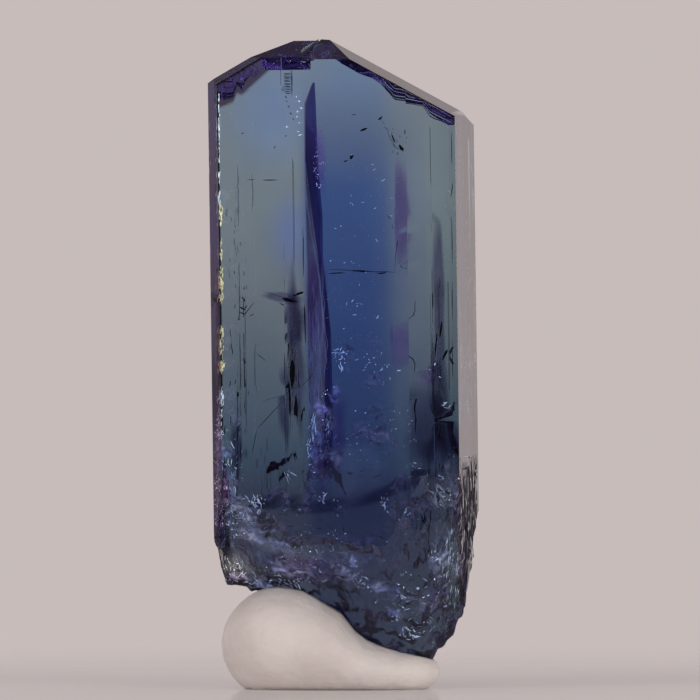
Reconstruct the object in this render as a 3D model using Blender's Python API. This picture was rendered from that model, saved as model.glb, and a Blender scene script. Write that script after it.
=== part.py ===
"""A tanzanite crystal, broken at its base, standing in a lump of white mounting putty.

The crystal's own frame has X across its broad front face, Y into its depth (the front is -Y) and Z
along the prism, with Z = 0 on the surface that the putty rests on. The sizes below are millimetres,
and meshes are made in metres. The finished pair stands on its origin: the middle of its box, at the
bottom.
"""

import math

import bmesh
import bpy
from mathutils import Vector, noise

MM = 0.001

# Prism: its flat front and back, its two side faces, and two opposite corners that are bevelled
FRONT_Y = -3.2
BACK_Y = 3.2
LEFT_X = -5.57
RIGHT_X = 5.09
FRONT_LEFT_BEVEL = (0.57, 0.85)
BACK_RIGHT_BEVEL = (1.0, 0.85)
PRISM_FOOT_Z = -2.0
PRISM_TOP_Z = 30.0

# Growth steps: where the front and the back step along X, and how far each stretch lies back
FRONT_STEPS = ((-4.35, 0.03), (-3.95, 0.07), (-2.1, 0.04), (1.95, 0.07), (2.55, 0.03), (3.75, 0.08))
BACK_STEPS = ((3.2, 0.05), (2.6, 0.0), (-3.4, 0.05), (-4.99, 0.0))
STEP_RUN = 0.05

# Domes, the two long slopes of the top: a point (x, y, z) of each, its slope and its fall to the back
RIGHT_DOME_POINT = (0.76, -3.2, 26.67)
LEFT_DOME_POINT = (-2.59, -2.75, 27.43)
DOME_SLOPE = math.radians(28.3)
RIGHT_DOME_BACK_FALL = 0.02
TOP_BEVEL_POINT = (-4.08, -3.2, 26.36)
TOP_RIGHT_CORNER_POINT = (4.68, 2.0, 24.3)
TOP_RIGHT_CORNER_NORMAL = (0.77, 0.1, 0.64)

# Summit between the domes: its two halves, as the height at (0, 0), the rise per mm of X and of Y
SUMMIT_SPLIT_X = -1.43
SUMMIT_LEFT = (26.93, -0.1, 0.124)
SUMMIT_RIGHT = (27.1, 0.0, 0.133)

# Back top facets: a point on the back face that each passes through, its fall along +X, its tilt
BACK_FACET_TILT = math.radians(50.0)
RIGHT_FACET_POINT = (1.22, 25.75)
RIGHT_FACET_FALL = math.radians(30.2)
LEFT_FACET_POINT = (-3.71, 26.31)
LEFT_FACET_FALL = math.radians(-36.9)
BACK_SHOULDER_Z = 26.33
SHOULDER_RUN = 3.0

# Growth groove down the back, as (height, left edge, right edge, depth)
GROOVE = (
    (25.75, -1.43, -1.39, 0.03),
    (25.0, -1.79, -1.34, 0.27),
    (22.87, -1.91, -1.35, 0.34),
    (20.75, -1.94, -1.34, 0.37),
    (18.2, -1.89, -1.2, 0.43),
    (15.2, -1.84, -0.9, 0.57),
    (9.0, -1.78, -0.75, 0.62),
)
GROOVE_PROUD = 0.1

# Growth panels sunk in the back, as (x, z, depth) round each one, and the run of their sloping rims
UPPER_PANEL = (
    (-1.6, 17.76, 0.16),
    (2.14, 17.72, 0.3),
    (2.36, 18.1, 0.3),
    (2.38, 22.4, 0.3),
    (2.22, 23.25, 0.28),
    (1.8, 23.93, 0.24),
    (1.0, 24.3, 0.14),
    (-1.6, 24.8, 0.04),
)
LOWER_PANEL = (
    (-1.5, 8.5, 0.42),
    (2.5, 8.5, 0.42),
    (2.6, 17.4, 0.42),
    (-1.5, 17.4, 0.3),
)
PANEL_RIM = 0.3
PANEL_PROUD = 0.1

# Broken base: the height of its keel, and where it meets the front and the back, along X
KEEL = (
    (-5.9, 5.9), (-5.57, 5.1), (-5.4, 4.75), (-4.7, 4.45), (-4.4, 4.15), (-3.4, 3.75), (-2.35, 3.6),
    (-0.64, 2.85), (0.63, 1.75), (1.9, 1.3), (2.9, 1.2), (3.23, 1.35), (3.6, 1.85), (4.17, 2.35),
    (4.43, 3.1), (4.8, 3.45), (4.92, 3.8), (4.98, 4.9), (5.1, 6.0), (5.8, 7.5),
)
FRONT_EDGE = (
    (-5.9, 6.6), (-5.5, 7.2), (-4.95, 10.2), (-4.54, 8.55), (-3.48, 7.34), (-1.77, 6.89), (-0.91, 6.8),
    (1.66, 6.34), (2.53, 7.81), (4.05, 8.73), (4.96, 9.2), (5.8, 9.0),
)
BACK_EDGE = (
    (-5.9, 11.0), (-4.82, 10.59), (-3.88, 10.36), (-2.68, 10.56), (-1.58, 12.1), (-0.94, 12.0),
    (-0.33, 9.76), (0.96, 9.45), (2.03, 9.56), (2.69, 10.49), (3.6, 10.9), (4.3, 9.6), (5.1, 7.2),
    (5.8, 7.0),
)
KEEL_Y = ((-5.9, 0.9), (-2.0, 0.7), (1.0, 0.4), (3.0, 0.1), (5.8, 0.4))
BASE_BLUNTNESS = 1.9
FRONT_HOLLOW = 0.6
BACK_HOLLOW = 0.9

# Shell-shaped hollows of the fracture: two sizes of cell, and how deep their middles are
CELLS = ((0.42, 0.34), (0.95, 0.13))
CELL_SPREAD = 1.6
CELL_RAISE = 0.2
SLOPE_NUDGE = 0.05
STEEPEST_SINK = 1.0
FRACTURE_STEP = 0.25
FRACTURE_X = (-5.9, 5.5)
FRACTURE_Y = (-3.75, 3.75)

# Chips broken off the edges, as (x, y, z, half width, half depth, half height)
CHIPS = (
    (4.75, 3.45, 11.0, 0.75, 0.7, 1.45),
    (4.55, 3.5, 14.1, 0.5, 0.45, 0.7),
)
CHIP_ROUGHNESS = 0.12
CHIP_GRAIN = 1.7

# Splintered corner, low on the right of the front: its heights, reach, depth and upright fibres
SPLINTER_Z = (2.5, 9.5)
SPLINTER_LEVELS = 7
SPLINTER_HALF_WIDTH = 2.2
SPLINTER_OUTSIDE = 3.0
SPLINTER_DEPTH = 1.05
SPLINTER_FADE = 0.6
SPLINTER_BOW = 0.35
SPLINTER_PITCH = 0.42
SPLINTER_JAG = 0.16
SPLINTER_LEAST_JAG = 0.4
SPLINTER_GRAIN = (2.1, 0.35)

# The whole crystal leans a little to the left, about a point half way up
LEAN = math.radians(0.78)
LEAN_Z = 14.5

# Putty: a fat round lobe at the left that thins to a rounded tail at the right
LOBE_X = -2.75
LOBE_LENGTH = 2.68
LOBE_WAIST_Z = 1.95
TAIL_X = 2.5
TAIL_LENGTH = 1.38
TAIL_WAIST_Z = 0.75
PUTTY_TOP = (
    (-2.75, 4.4), (-2.0, 4.3), (-1.3, 3.95), (-0.4, 3.3), (0.9, 2.15), (1.7, 1.8), (2.5, 1.62),
)
PUTTY_HALF_DEPTH = ((-2.75, 3.55), (-0.6, 3.5), (1.2, 2.95), (2.5, 2.1))
PUTTY_UNDERSIDE = 0.14
PUTTY_RINGS = 26
PUTTY_SIDES = 34
PUTTY_WOBBLE = 0.09
PUTTY_WOBBLE_GRAIN = 0.45
SEAT_GAP = 0.2


def through(points, x):
    """The height at x of a smooth line through a few (x, height) points."""
    if x <= points[0][0]:
        return points[0][1]
    for (x0, z0), (x1, z1) in zip(points, points[1:]):
        if x <= x1:
            t = (x - x0) / (x1 - x0)
            return z0 + (z1 - z0) * t * t * (3 - 2 * t)
    return points[-1][1]


def clear_scene():
    for obj in list(bpy.data.objects):
        bpy.data.objects.remove(obj, do_unlink=True)


def material(name, colour, roughness, transmission=0.0, ior=1.45):
    made = bpy.data.materials.new(name)
    made.use_nodes = True
    shader = made.node_tree.nodes["Principled BSDF"]
    shader.inputs["Base Color"].default_value = (*colour, 1.0)
    shader.inputs["Roughness"].default_value = roughness
    shader.inputs["Metallic"].default_value = 0.0
    shader.inputs["Transmission Weight"].default_value = transmission
    shader.inputs["IOR"].default_value = ior
    return made


def object_from(name, bm):
    """An object of this name holding the bmesh, scaled from millimetres to metres."""
    bmesh.ops.recalc_face_normals(bm, faces=bm.faces)
    bmesh.ops.scale(bm, vec=(MM, MM, MM), verts=bm.verts)
    mesh = bpy.data.meshes.new(name)
    bm.to_mesh(mesh)
    bm.free()
    obj = bpy.data.objects.new(name, mesh)
    bpy.context.scene.collection.objects.link(obj)
    return obj


def as_cutter(obj, target):
    """Takes obj away from target with a Boolean, and keeps it as a wire guide."""
    obj.hide_render = True
    obj.display_type = "WIRE"
    cut = target.modifiers.new(obj.name, "BOOLEAN")
    cut.operation = "DIFFERENCE"
    cut.solver = "EXACT"
    cut.object = obj
    return obj


def loft(rings):
    """A closed skin over rings of points that all have the same number of points."""
    bm = bmesh.new()
    made = [[bm.verts.new(point) for point in ring] for ring in rings]
    count = len(made[0])
    for lower, upper in zip(made, made[1:]):
        for i in range(count):
            j = (i + 1) % count
            bm.faces.new((lower[i], lower[j], upper[j], upper[i]))
    bm.faces.new(made[0][::-1])
    bm.faces.new(made[-1])
    return bm


def stepped(edge_y, inward, start_x, end_x, steps):
    """The points along a broad face, which lies back a little more or less at each step."""
    sign = 1 if end_x > start_x else -1
    points = [(start_x, edge_y)]
    back = 0.0
    for x, new_back in steps:
        points.append((x - sign * STEP_RUN, edge_y + inward * back))
        points.append((x, edge_y + inward * new_back))
        back = new_back
    points.append((end_x, edge_y + inward * back))
    return points


def cross_section():
    """The prism's outline seen from above, anticlockwise from its front left corner."""
    bevel_x, bevel_y = FRONT_LEFT_BEVEL
    cut_x, cut_y = BACK_RIGHT_BEVEL
    front = stepped(FRONT_Y, 1, LEFT_X + bevel_x, RIGHT_X, FRONT_STEPS)
    back = stepped(BACK_Y, -1, RIGHT_X - cut_x, LEFT_X, BACK_STEPS)
    return front + [(RIGHT_X, BACK_Y - cut_y)] + back + [(LEFT_X, FRONT_Y + bevel_y)]


def cut_flat(bm, point, normal):
    """Cuts off all that lies beyond a plane, and closes the cut with a flat face."""
    geometry = bm.verts[:] + bm.edges[:] + bm.faces[:]
    cut = bmesh.ops.bisect_plane(
        bm, geom=geometry, plane_co=point, plane_no=normal, clear_outer=True, dist=1e-5
    )
    rim = [item for item in cut["geom_cut"] if isinstance(item, bmesh.types.BMEdge)]
    bmesh.ops.contextual_create(bm, geom=rim)


def back_facet(bm, point, fall):
    """A facet between the back and the top, whose line on the back falls along +X."""
    x, z = point
    normal = Vector((
        math.sin(BACK_FACET_TILT) * math.sin(fall),
        math.cos(BACK_FACET_TILT),
        math.sin(BACK_FACET_TILT) * math.cos(fall),
    ))
    cut_flat(bm, Vector((x, BACK_Y, z)), normal)


def crystal_prism():
    """The prism with its two sloping domes, and the facets between them and the broad faces."""
    outline = cross_section()
    bm = loft([[(x, y, z) for x, y in outline] for z in (PRISM_FOOT_Z, PRISM_TOP_Z)])
    right = Vector((math.sin(DOME_SLOPE), RIGHT_DOME_BACK_FALL, math.cos(DOME_SLOPE)))
    left = Vector((-math.sin(DOME_SLOPE), 0, math.cos(DOME_SLOPE)))
    cut_flat(bm, Vector(RIGHT_DOME_POINT), right)
    cut_flat(bm, Vector(LEFT_DOME_POINT), left)
    cut_flat(bm, Vector(TOP_BEVEL_POINT), left + Vector((0, -1, 0)))
    cut_flat(bm, Vector(TOP_RIGHT_CORNER_POINT), Vector(TOP_RIGHT_CORNER_NORMAL))
    back_facet(bm, RIGHT_FACET_POINT, RIGHT_FACET_FALL)
    back_facet(bm, LEFT_FACET_POINT, LEFT_FACET_FALL)
    return bm


def summit_cut(plane, from_x, to_x):
    """A block over one half of the summit, down to the gently sloping plane of that half."""
    height, rise_x, rise_y = plane
    rings = []
    for x in (from_x, to_x):
        low = [(x, y, height + rise_x * x + rise_y * y) for y in (FRONT_Y - 1, BACK_Y + 1)]
        high = [(x, y, PRISM_TOP_Z + 1) for y in (BACK_Y + 1, FRONT_Y - 1)]
        rings.append(low + high)
    return loft(rings)


def back_shoulder():
    """A wedge that takes the shoulder off the back of the summit's left half."""
    rise = SHOULDER_RUN * math.tan(BACK_FACET_TILT)
    low = (BACK_Y + SHOULDER_RUN, BACK_SHOULDER_Z - rise)
    high = (BACK_Y - SHOULDER_RUN, BACK_SHOULDER_Z + rise)
    section = (low, (low[0], high[1]), high)
    return loft([[(x, y, z) for y, z in section] for x in (SUMMIT_SPLIT_X, LEFT_X - 1.0)])


def groove():
    """A V-shaped furrow in the back, drawn to a point at its top."""
    rings = []
    for z, left, right, depth in GROOVE:
        middle = (left + right) / 2
        half = (right - left) / 2 * (depth + GROOVE_PROUD) / depth
        rings.append([
            (middle - half, BACK_Y + GROOVE_PROUD, z),
            (middle, BACK_Y - depth, z),
            (middle + half, BACK_Y + GROOVE_PROUD, z),
        ])
    return loft(rings)


def panel(outline):
    """A shallow sunk panel, whose rim slopes from the back face to its floor."""
    centre = Vector((sum(p[0] for p in outline), sum(p[1] for p in outline))) / len(outline)
    outer = []
    floor = []
    for x, z, depth in outline:
        inward = (centre - Vector((x, z))).normalized() * PANEL_RIM
        outer.append((x - inward.x / 2, BACK_Y + depth * PANEL_PROUD, z - inward.y / 2))
        floor.append((x + inward.x, BACK_Y - depth, z + inward.y))
    return loft([outer, floor])


def fracture_height(x, y):
    """The height of the broken underside: two hollow slopes that meet in a keel."""
    keel = through(KEEL, x)
    keel_y = through(KEEL_Y, x)
    if y < keel_y:
        edge, reach, hollow = through(FRONT_EDGE, x), keel_y - FRONT_Y, FRONT_HOLLOW
    else:
        edge, reach, hollow = through(BACK_EDGE, x), BACK_Y - keel_y, BACK_HOLLOW
    t = abs(y - keel_y) / reach
    return keel + (edge - keel) * t ** BASE_BLUNTNESS + hollow * max(0.0, t * t * (1 - t)) * 4


def fracture_point(x, y):
    """A point of the broken underside, with its shell-shaped hollows sunk square to the slope."""
    rise_x = fracture_height(x + SLOPE_NUDGE, y) - fracture_height(x - SLOPE_NUDGE, y)
    rise_y = fracture_height(x, y + SLOPE_NUDGE) - fracture_height(x, y - SLOPE_NUDGE)
    lean_x, lean_y = (
        max(-STEEPEST_SINK, min(STEEPEST_SINK, rise / (2 * SLOPE_NUDGE))) for rise in (rise_x, rise_y)
    )
    inward = Vector((-lean_x, -lean_y, 1)).normalized()
    point = Vector((x, y, fracture_height(x, y)))
    sunk = 0.0
    for scale, depth in CELLS:
        nearest = noise.voronoi(point * scale)[0][0]
        sunk += depth * (1 - min(1.0, nearest * CELL_SPREAD) ** 2)
    return point + inward * (sunk - CELL_RAISE)


def fracture_block(drop, far_z):
    """A block between the broken underside, lowered by drop, and a flat face at far_z."""
    counts = [round((high - low) / FRACTURE_STEP) for low, high in (FRACTURE_X, FRACTURE_Y)]
    xs = [FRACTURE_X[0] + (FRACTURE_X[1] - FRACTURE_X[0]) * i / counts[0] for i in range(counts[0] + 1)]
    ys = [FRACTURE_Y[0] + (FRACTURE_Y[1] - FRACTURE_Y[0]) * j / counts[1] for j in range(counts[1] + 1)]
    bm = bmesh.new()
    down = Vector((0, 0, -drop))
    surface = [[bm.verts.new(fracture_point(x, y) + down) for y in ys] for x in xs]
    for near, far in zip(surface, surface[1:]):
        for j in range(len(ys) - 1):
            bm.faces.new((near[j], far[j], far[j + 1], near[j + 1]))
    border = [column[0] for column in surface] + surface[-1][1:]
    border += [column[-1] for column in surface[-2::-1]] + surface[0][-2:0:-1]
    foot = [bm.verts.new((vert.co.x, vert.co.y, far_z)) for vert in border]
    for i, vert in enumerate(border):
        j = (i + 1) % len(border)
        bm.faces.new((vert, border[j], foot[j], foot[i]))
    bm.faces.new(foot)
    bmesh.ops.triangulate(bm, faces=bm.faces)
    return bm


def chip(x, y, z, half_width, half_depth, half_height):
    """A rough ellipsoid, which leaves a small shell-shaped hollow in an edge."""
    bm = bmesh.new()
    bmesh.ops.create_icosphere(bm, subdivisions=2, radius=1.0)
    for vert in bm.verts:
        swell = 1 + CHIP_ROUGHNESS * noise.noise(vert.co * CHIP_GRAIN + Vector((x, y, z)))
        vert.co *= swell
        vert.co = Vector((
            x + vert.co.x * half_width, y + vert.co.y * half_depth, z + vert.co.z * half_height
        ))
    return bm


def splinter_cut():
    """A fluted wedge that leaves long upright fibres where the front right corner broke away."""
    low, high = SPLINTER_Z
    half = SPLINTER_HALF_WIDTH
    across = Vector((1, 1, 0)).normalized()
    outward = Vector((1, -1, 0)).normalized()
    flutes = round(2 * half / (SPLINTER_PITCH / 2))
    grain_across, grain_up = SPLINTER_GRAIN
    rings = []
    for k in range(SPLINTER_LEVELS + 1):
        t = k / SPLINTER_LEVELS
        z = low + (high - low) * t
        corner = Vector((RIGHT_X, FRONT_Y, z))
        deep = SPLINTER_DEPTH * math.cos(t * math.pi / 2) ** SPLINTER_FADE
        ring = []
        for i in range(flutes + 1):
            s = -half + 2 * half * i / flutes
            ragged = abs(noise.noise(Vector((s * grain_across, 0, z * grain_up))))
            jag = SPLINTER_JAG * (i % 2) * (SPLINTER_LEAST_JAG + ragged)
            bow = SPLINTER_BOW * (s / half) ** 2
            ring.append(corner + across * s + outward * (bow + jag - deep))
        ring.append(corner + across * half + outward * SPLINTER_OUTSIDE)
        ring.append(corner - across * half + outward * SPLINTER_OUTSIDE)
        rings.append(ring)
    return loft(rings)


def putty_section(x):
    """The half depth, top and hidden underside of the putty at x, and how round it is there."""
    roundness = 1.0
    waist = 0.0
    if x < LOBE_X:
        roundness = math.sqrt(max(0.0, 1 - ((x - LOBE_X) / LOBE_LENGTH) ** 2))
        waist = LOBE_WAIST_Z
    elif x > TAIL_X:
        roundness = math.sqrt(max(0.0, 1 - ((x - TAIL_X) / TAIL_LENGTH) ** 2))
        waist = TAIL_WAIST_Z
    top = through(PUTTY_TOP, x)
    under = -PUTTY_UNDERSIDE * top
    half_depth = through(PUTTY_HALF_DEPTH, x) * roundness
    return half_depth, waist + (top - waist) * roundness, waist + (under - waist) * roundness


def putty_lump():
    """The lump before the crystal's seat is pressed into it, with a flat underside."""
    start = LOBE_X - LOBE_LENGTH
    end = TAIL_X + TAIL_LENGTH
    rings = []
    for k in range(1, PUTTY_RINGS):
        x = (start + end) / 2 - (end - start) / 2 * math.cos(math.pi * k / PUTTY_RINGS)
        half_depth, top, under = putty_section(x)
        ring = []
        for i in range(PUTTY_SIDES):
            angle = 2 * math.pi * i / PUTTY_SIDES
            point = Vector((
                x,
                half_depth * math.cos(angle),
                (top + under) / 2 + (top - under) / 2 * math.sin(angle),
            ))
            swell = PUTTY_WOBBLE * noise.noise(point * PUTTY_WOBBLE_GRAIN)
            point += Vector((0, math.cos(angle), math.sin(angle))) * swell
            point.z = max(0.0, point.z)
            ring.append(point)
        rings.append(ring)
    return loft(rings)


def build_crystal(root):
    crystal = object_from("tanzanite_crystal", crystal_prism())
    violet_blue = (0.09, 0.16, 0.46)
    crystal.data.materials.append(material("tanzanite", violet_blue, 0.03, transmission=1.0, ior=1.69))
    left_half = summit_cut(SUMMIT_LEFT, LEFT_X - 1, SUMMIT_SPLIT_X)
    right_half = summit_cut(SUMMIT_RIGHT, SUMMIT_SPLIT_X, RIGHT_X + 1)
    cutters = [
        as_cutter(object_from("cut_summit_left", left_half), crystal),
        as_cutter(object_from("cut_summit_right", right_half), crystal),
        as_cutter(object_from("cut_back_shoulder", back_shoulder()), crystal),
        as_cutter(object_from("cut_groove", groove()), crystal),
        as_cutter(object_from("cut_upper_panel", panel(UPPER_PANEL)), crystal),
        as_cutter(object_from("cut_lower_panel", panel(LOWER_PANEL)), crystal),
        as_cutter(object_from("cut_splinters", splinter_cut()), crystal),
        as_cutter(object_from("cut_base", fracture_block(0.0, PRISM_FOOT_Z - 1)), crystal),
    ]
    for number, place in enumerate(CHIPS, start=1):
        cutters.append(as_cutter(object_from(f"cut_chip_{number}", chip(*place)), crystal))
    for obj in [crystal, *cutters]:
        lean(obj, root)
    return crystal


def build_putty(root):
    putty = object_from("putty_stand", putty_lump())
    putty.data.materials.append(material("putty", (0.72, 0.67, 0.62), 0.6))
    putty.parent = root
    seat = as_cutter(object_from("cut_seat", fracture_block(SEAT_GAP, PRISM_TOP_Z)), putty)
    lean(seat, root)
    return putty


def lean(obj, root):
    """Tilts obj about the Y axis through the lean's own height, top to the left."""
    obj.parent = root
    obj.rotation_euler = (0, -LEAN, 0)
    obj.location = Vector((math.sin(LEAN), 0, 1 - math.cos(LEAN))) * LEAN_Z * MM


def stand_on_origin(root, pieces):
    """Moves the root so that the middle of the pieces' box is over the origin."""
    bpy.context.view_layer.update()
    graph = bpy.context.evaluated_depsgraph_get()
    corners = []
    for piece in pieces:
        done = piece.evaluated_get(graph)
        mesh = done.to_mesh()
        corners += [done.matrix_world @ vert.co for vert in mesh.vertices]
        done.to_mesh_clear()
    lowest = [min(corner[axis] for corner in corners) for axis in range(3)]
    highest = [max(corner[axis] for corner in corners) for axis in range(3)]
    root.location.x -= (lowest[0] + highest[0]) / 2
    root.location.y -= (lowest[1] + highest[1]) / 2
    root.location.z -= lowest[2]


def main():
    clear_scene()
    root = bpy.data.objects.new("crystal_on_stand", None)
    bpy.context.scene.collection.objects.link(root)
    pieces = [build_crystal(root), build_putty(root)]
    pieces[1].data.shade_smooth()
    stand_on_origin(root, pieces)


main()
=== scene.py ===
"""Looks of the tanzanite crystal in its lump of mounting putty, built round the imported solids.

The crystal's own frame is the one its solids were drawn in: X across the broad front face, Y into the
depth, Z up along the prism, in millimetres. Everything is modelled there and is then placed in the
row frame, in metres, by place().
"""

import math
import random

import bmesh
import bpy
from mathutils import Matrix, Vector, noise
from mathutils.bvhtree import BVHTree


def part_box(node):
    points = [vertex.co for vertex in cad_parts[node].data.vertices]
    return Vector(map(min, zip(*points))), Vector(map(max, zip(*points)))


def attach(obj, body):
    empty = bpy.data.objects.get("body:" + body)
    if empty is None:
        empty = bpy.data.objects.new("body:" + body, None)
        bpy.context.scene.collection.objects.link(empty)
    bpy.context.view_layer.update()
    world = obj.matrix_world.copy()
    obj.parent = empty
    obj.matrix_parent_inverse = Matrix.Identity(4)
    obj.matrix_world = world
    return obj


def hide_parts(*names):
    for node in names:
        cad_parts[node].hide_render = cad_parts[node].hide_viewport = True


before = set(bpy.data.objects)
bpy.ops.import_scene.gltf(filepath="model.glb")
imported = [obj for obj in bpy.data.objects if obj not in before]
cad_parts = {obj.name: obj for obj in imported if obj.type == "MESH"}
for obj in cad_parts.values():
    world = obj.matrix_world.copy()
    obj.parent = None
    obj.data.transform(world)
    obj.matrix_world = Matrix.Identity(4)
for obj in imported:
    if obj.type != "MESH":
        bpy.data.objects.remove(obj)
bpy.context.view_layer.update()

MM = 0.001

# Prism: its flat front and back, its two side faces, and two opposite corners that are bevelled
FRONT_Y = -3.2
BACK_Y = 3.2
LEFT_X = -5.57
RIGHT_X = 5.09
FRONT_LEFT_BEVEL = (0.5, 0.85)
BACK_RIGHT_BEVEL = (0.78, 0.4)
PRISM_FOOT_Z = -2.0
PRISM_TOP_Z = 30.0

# Growth steps: where the front and the back step along X, and how far each stretch lies back
FRONT_STEPS = ((-4.35, 0.01), (-3.95, 0.02), (-2.1, 0.012), (1.95, 0.02), (2.55, 0.01), (3.75, 0.025))
BACK_STEPS = ((3.2, 0.015), (2.6, 0.0), (-3.4, 0.012), (-4.7, 0.0))
# Growth lines: narrow furrows that come and go along the prism, as (x, width, depth)
FRONT_LINES = ((-4.2, 0.015, 0.03), (-2.31, 0.015, 0.02), (3.0, 0.015, 0.02), (4.05, 0.02, 0.03))
BACK_LINES = (
    (4.2, 0.02, 0.04), (3.78, 0.03, 0.05), (3.5, 0.02, 0.05), (3.32, 0.02, 0.03), (2.48, 0.015, 0.015),
    (-2.2, 0.02, 0.03), (-4.35, 0.02, 0.03), (-4.8, 0.02, 0.03),
)
STEP_RUN = 0.05
LINE_RUN = 0.015
PRISM_LEVELS = 150
# How fast the growth lines change along X and Z, how deep they are at Z = 0, and how that changes
GROWTH_SPREAD = 5.3
GROWTH_WAVE = 0.4
GROWTH_FOOT = 0.62
GROWTH_FALL = 0.03
GROWTH_SWING = 1.5

# Domes, the two long slopes of the top: a point (x, y, z) of each, its slope and its fall to the back
RIGHT_DOME_POINT = (0.76, -3.2, 26.72)
LEFT_DOME_POINT = (-5.57, -2.75, 25.83)
DOME_SLOPE = math.radians(28.9)
LEFT_DOME_SLOPE = math.radians(29.4)
RIGHT_DOME_BACK_FALL = 0.02
TOP_BEVEL_POINT = (-4.08, -3.2, 26.36)
TOP_RIGHT_CORNER_POINT = (4.84, 2.0, 24.3)
TOP_RIGHT_CORNER_NORMAL = (0.77, 0.1, 0.64)

# Summit between the domes: its two halves, as the height at (0, 0), the rise per mm of X and of Y
SUMMIT_SPLIT_X = -1.43
SUMMIT_LEFT = (27.285, 0.0, 0.124)
SUMMIT_RIGHT = (27.22, 0.0, 0.133)
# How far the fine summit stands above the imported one
SUMMIT_RAISE = 0.1

# Back top facets: a point on the back face that each passes through, its fall along +X, its tilt
BACK_FACET_TILT = math.radians(50.0)
RIGHT_FACET_POINT = (1.22, 25.75)
RIGHT_FACET_FALL = math.radians(30.2)
LEFT_FACET_POINT = (-3.71, 26.31)
LEFT_FACET_FALL = math.radians(-36.9)
BACK_SHOULDER_Z = 26.33
SHOULDER_RUN = 3.0

# Growth groove down the back, as (height, left edge, right edge, depth, share of the left wall)
GROOVE = (
    (25.78, -1.39, -1.35, 0.03, 0.3),
    (24.9, -1.71, -1.32, 0.27, 0.12),
    (22.5, -1.73, -1.27, 0.34, 0.08),
    (20.1, -1.71, -1.12, 0.40, 0.45),
    (18.3, -1.69, -1.12, 0.45, 0.8),
    (15.2, -1.69, -0.86, 0.57, 0.86),
    (9.0, -1.66, -0.8, 0.62, 0.6),
)
GROOVE_PROUD = 0.1

# Flutes low on the right side face: how many, their foot, tops and radii, and the angles of their section
FLUTE_SEED = 3
FLUTES = 17
FLUTE_FOOT = 2.0
FLUTE_TOPS = (6.0, 10.8)
FLUTE_RADII = (0.09, 0.17)
FLUTE_TIP_RADIUS = 0.008
FLUTE_PROUD = 0.05
FLUTE_SWAY = 0.02
FLUTE_TAPER = 0.6
FLUTE_LEVELS = 8
FLUTE_ANGLES = (0, 1.57, 2.6, 3.14, 3.68, 4.71)
# How deep a fluted face may lie, and how squarely it may face the side and still be smooth
FLUTE_DEPTH = 0.4
FLAT_NORMAL_X = 0.999

# Growth panels sunk in the back, as (x, z, depth, run of the sloping rim) round each one
UPPER_PANEL = (
    (-1.6, 17.76, 0.05, 0.14),
    (2.14, 17.72, 0.05, 0.14),
    (2.36, 18.1, 0.16, 0.3),
    (2.38, 22.4, 0.18, 0.34),
    (2.22, 23.25, 0.18, 0.3),
    (1.8, 23.93, 0.14, 0.3),
    (1.0, 24.3, 0.06, 0.4),
    (-1.6, 24.8, 0.02, 0.4),
)
LOWER_PANEL = (
    (-1.5, 5.5, 0.12, 0.3),
    (2.5, 5.5, 0.05, 0.3),
    (2.6, 17.4, 0.04, 0.3),
    (-1.5, 17.4, 0.05, 0.3),
)
PANEL_PROUD = 0.1

# Broken base: the height of its keel, and where it meets the front and the back, along X
KEEL = (
    (-5.9, 5.3), (-5.57, 4.8), (-5.4, 4.6), (-4.7, 4.4), (-4.4, 4.2), (-3.4, 3.75), (-2.35, 3.6),
    (-0.64, 2.85), (0.63, 1.75), (1.9, 1.3), (2.9, 1.2), (3.23, 1.35), (3.6, 1.85), (4.17, 2.35),
    (4.43, 3.1), (4.8, 3.45), (4.92, 3.8), (4.98, 4.9), (5.1, 6.0), (5.8, 7.5),
)
FRONT_EDGE = (
    (-5.9, 6.6), (-5.5, 7.2), (-4.95, 10.2), (-4.54, 8.55), (-3.48, 7.34), (-1.77, 6.89), (-0.91, 6.8),
    (1.66, 6.34), (2.53, 7.81), (4.05, 8.73), (4.96, 9.2), (5.8, 9.0),
)
BACK_EDGE = (
    (-5.9, 11.0), (-4.82, 10.59), (-3.88, 10.36), (-2.68, 10.56), (-1.58, 11.5), (-0.94, 11.1),
    (-0.1, 9.9), (0.96, 9.45), (2.03, 9.56), (2.69, 10.49), (3.6, 10.9), (4.3, 9.6), (5.1, 7.2),
    (5.8, 7.0),
)
KEEL_Y = ((-5.9, 0.9), (-2.0, 0.7), (1.0, 0.4), (3.0, 0.1), (5.8, 0.4))
BASE_BLUNTNESS = 1.9
FRONT_HOLLOW = 0.6
BACK_HOLLOW = 0.9

# Shell-shaped hollows of the fracture: four sizes of cell, and how deep their middles are
CELLS = ((0.42, 0.34), (0.95, 0.13), (2.3, 0.05), (5.2, 0.018))
CELL_SPREAD = 1.6
CELL_RAISE = 0.2
SLOPE_NUDGE = 0.05
STEEPEST_SINK = 1.0
FRACTURE_STEP = 0.07
FRACTURE_X = (-5.9, 5.5)
FRACTURE_Y = (-3.75, 3.75)

# Chips broken off the edges, as (x, y, z, half width, half depth, half height)
CHIPS = (
    (4.75, 3.45, 11.0, 0.75, 0.7, 1.45),
    (4.55, 3.5, 14.1, 0.5, 0.45, 0.7),
)
CHIP_ROUGHNESS = 0.12
CHIP_GRAIN = 1.7
CHIP_REACH = 1.5
# Faces that look down more than this are broken ones, and are shaded smooth up to a sharp angle
BROKEN_NORMAL_Z = -0.08
SHARP_ANGLE = math.radians(24)

# Splintered corner, low on the right of the front: its heights, reach, depth and upright fibres
SPLINTER_Z = (2.5, 9.5)
SPLINTER_LEVELS = 7
SPLINTER_HALF_WIDTH = 2.2
SPLINTER_OUTSIDE = 3.0
SPLINTER_DEPTH = 1.05
SPLINTER_FADE = 0.6
SPLINTER_BOW = 0.35
SPLINTER_PITCH = 0.42
SPLINTER_JAG = 0.16
SPLINTER_LEAST_JAG = 0.4
SPLINTER_GRAIN = (2.1, 0.35)

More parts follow.
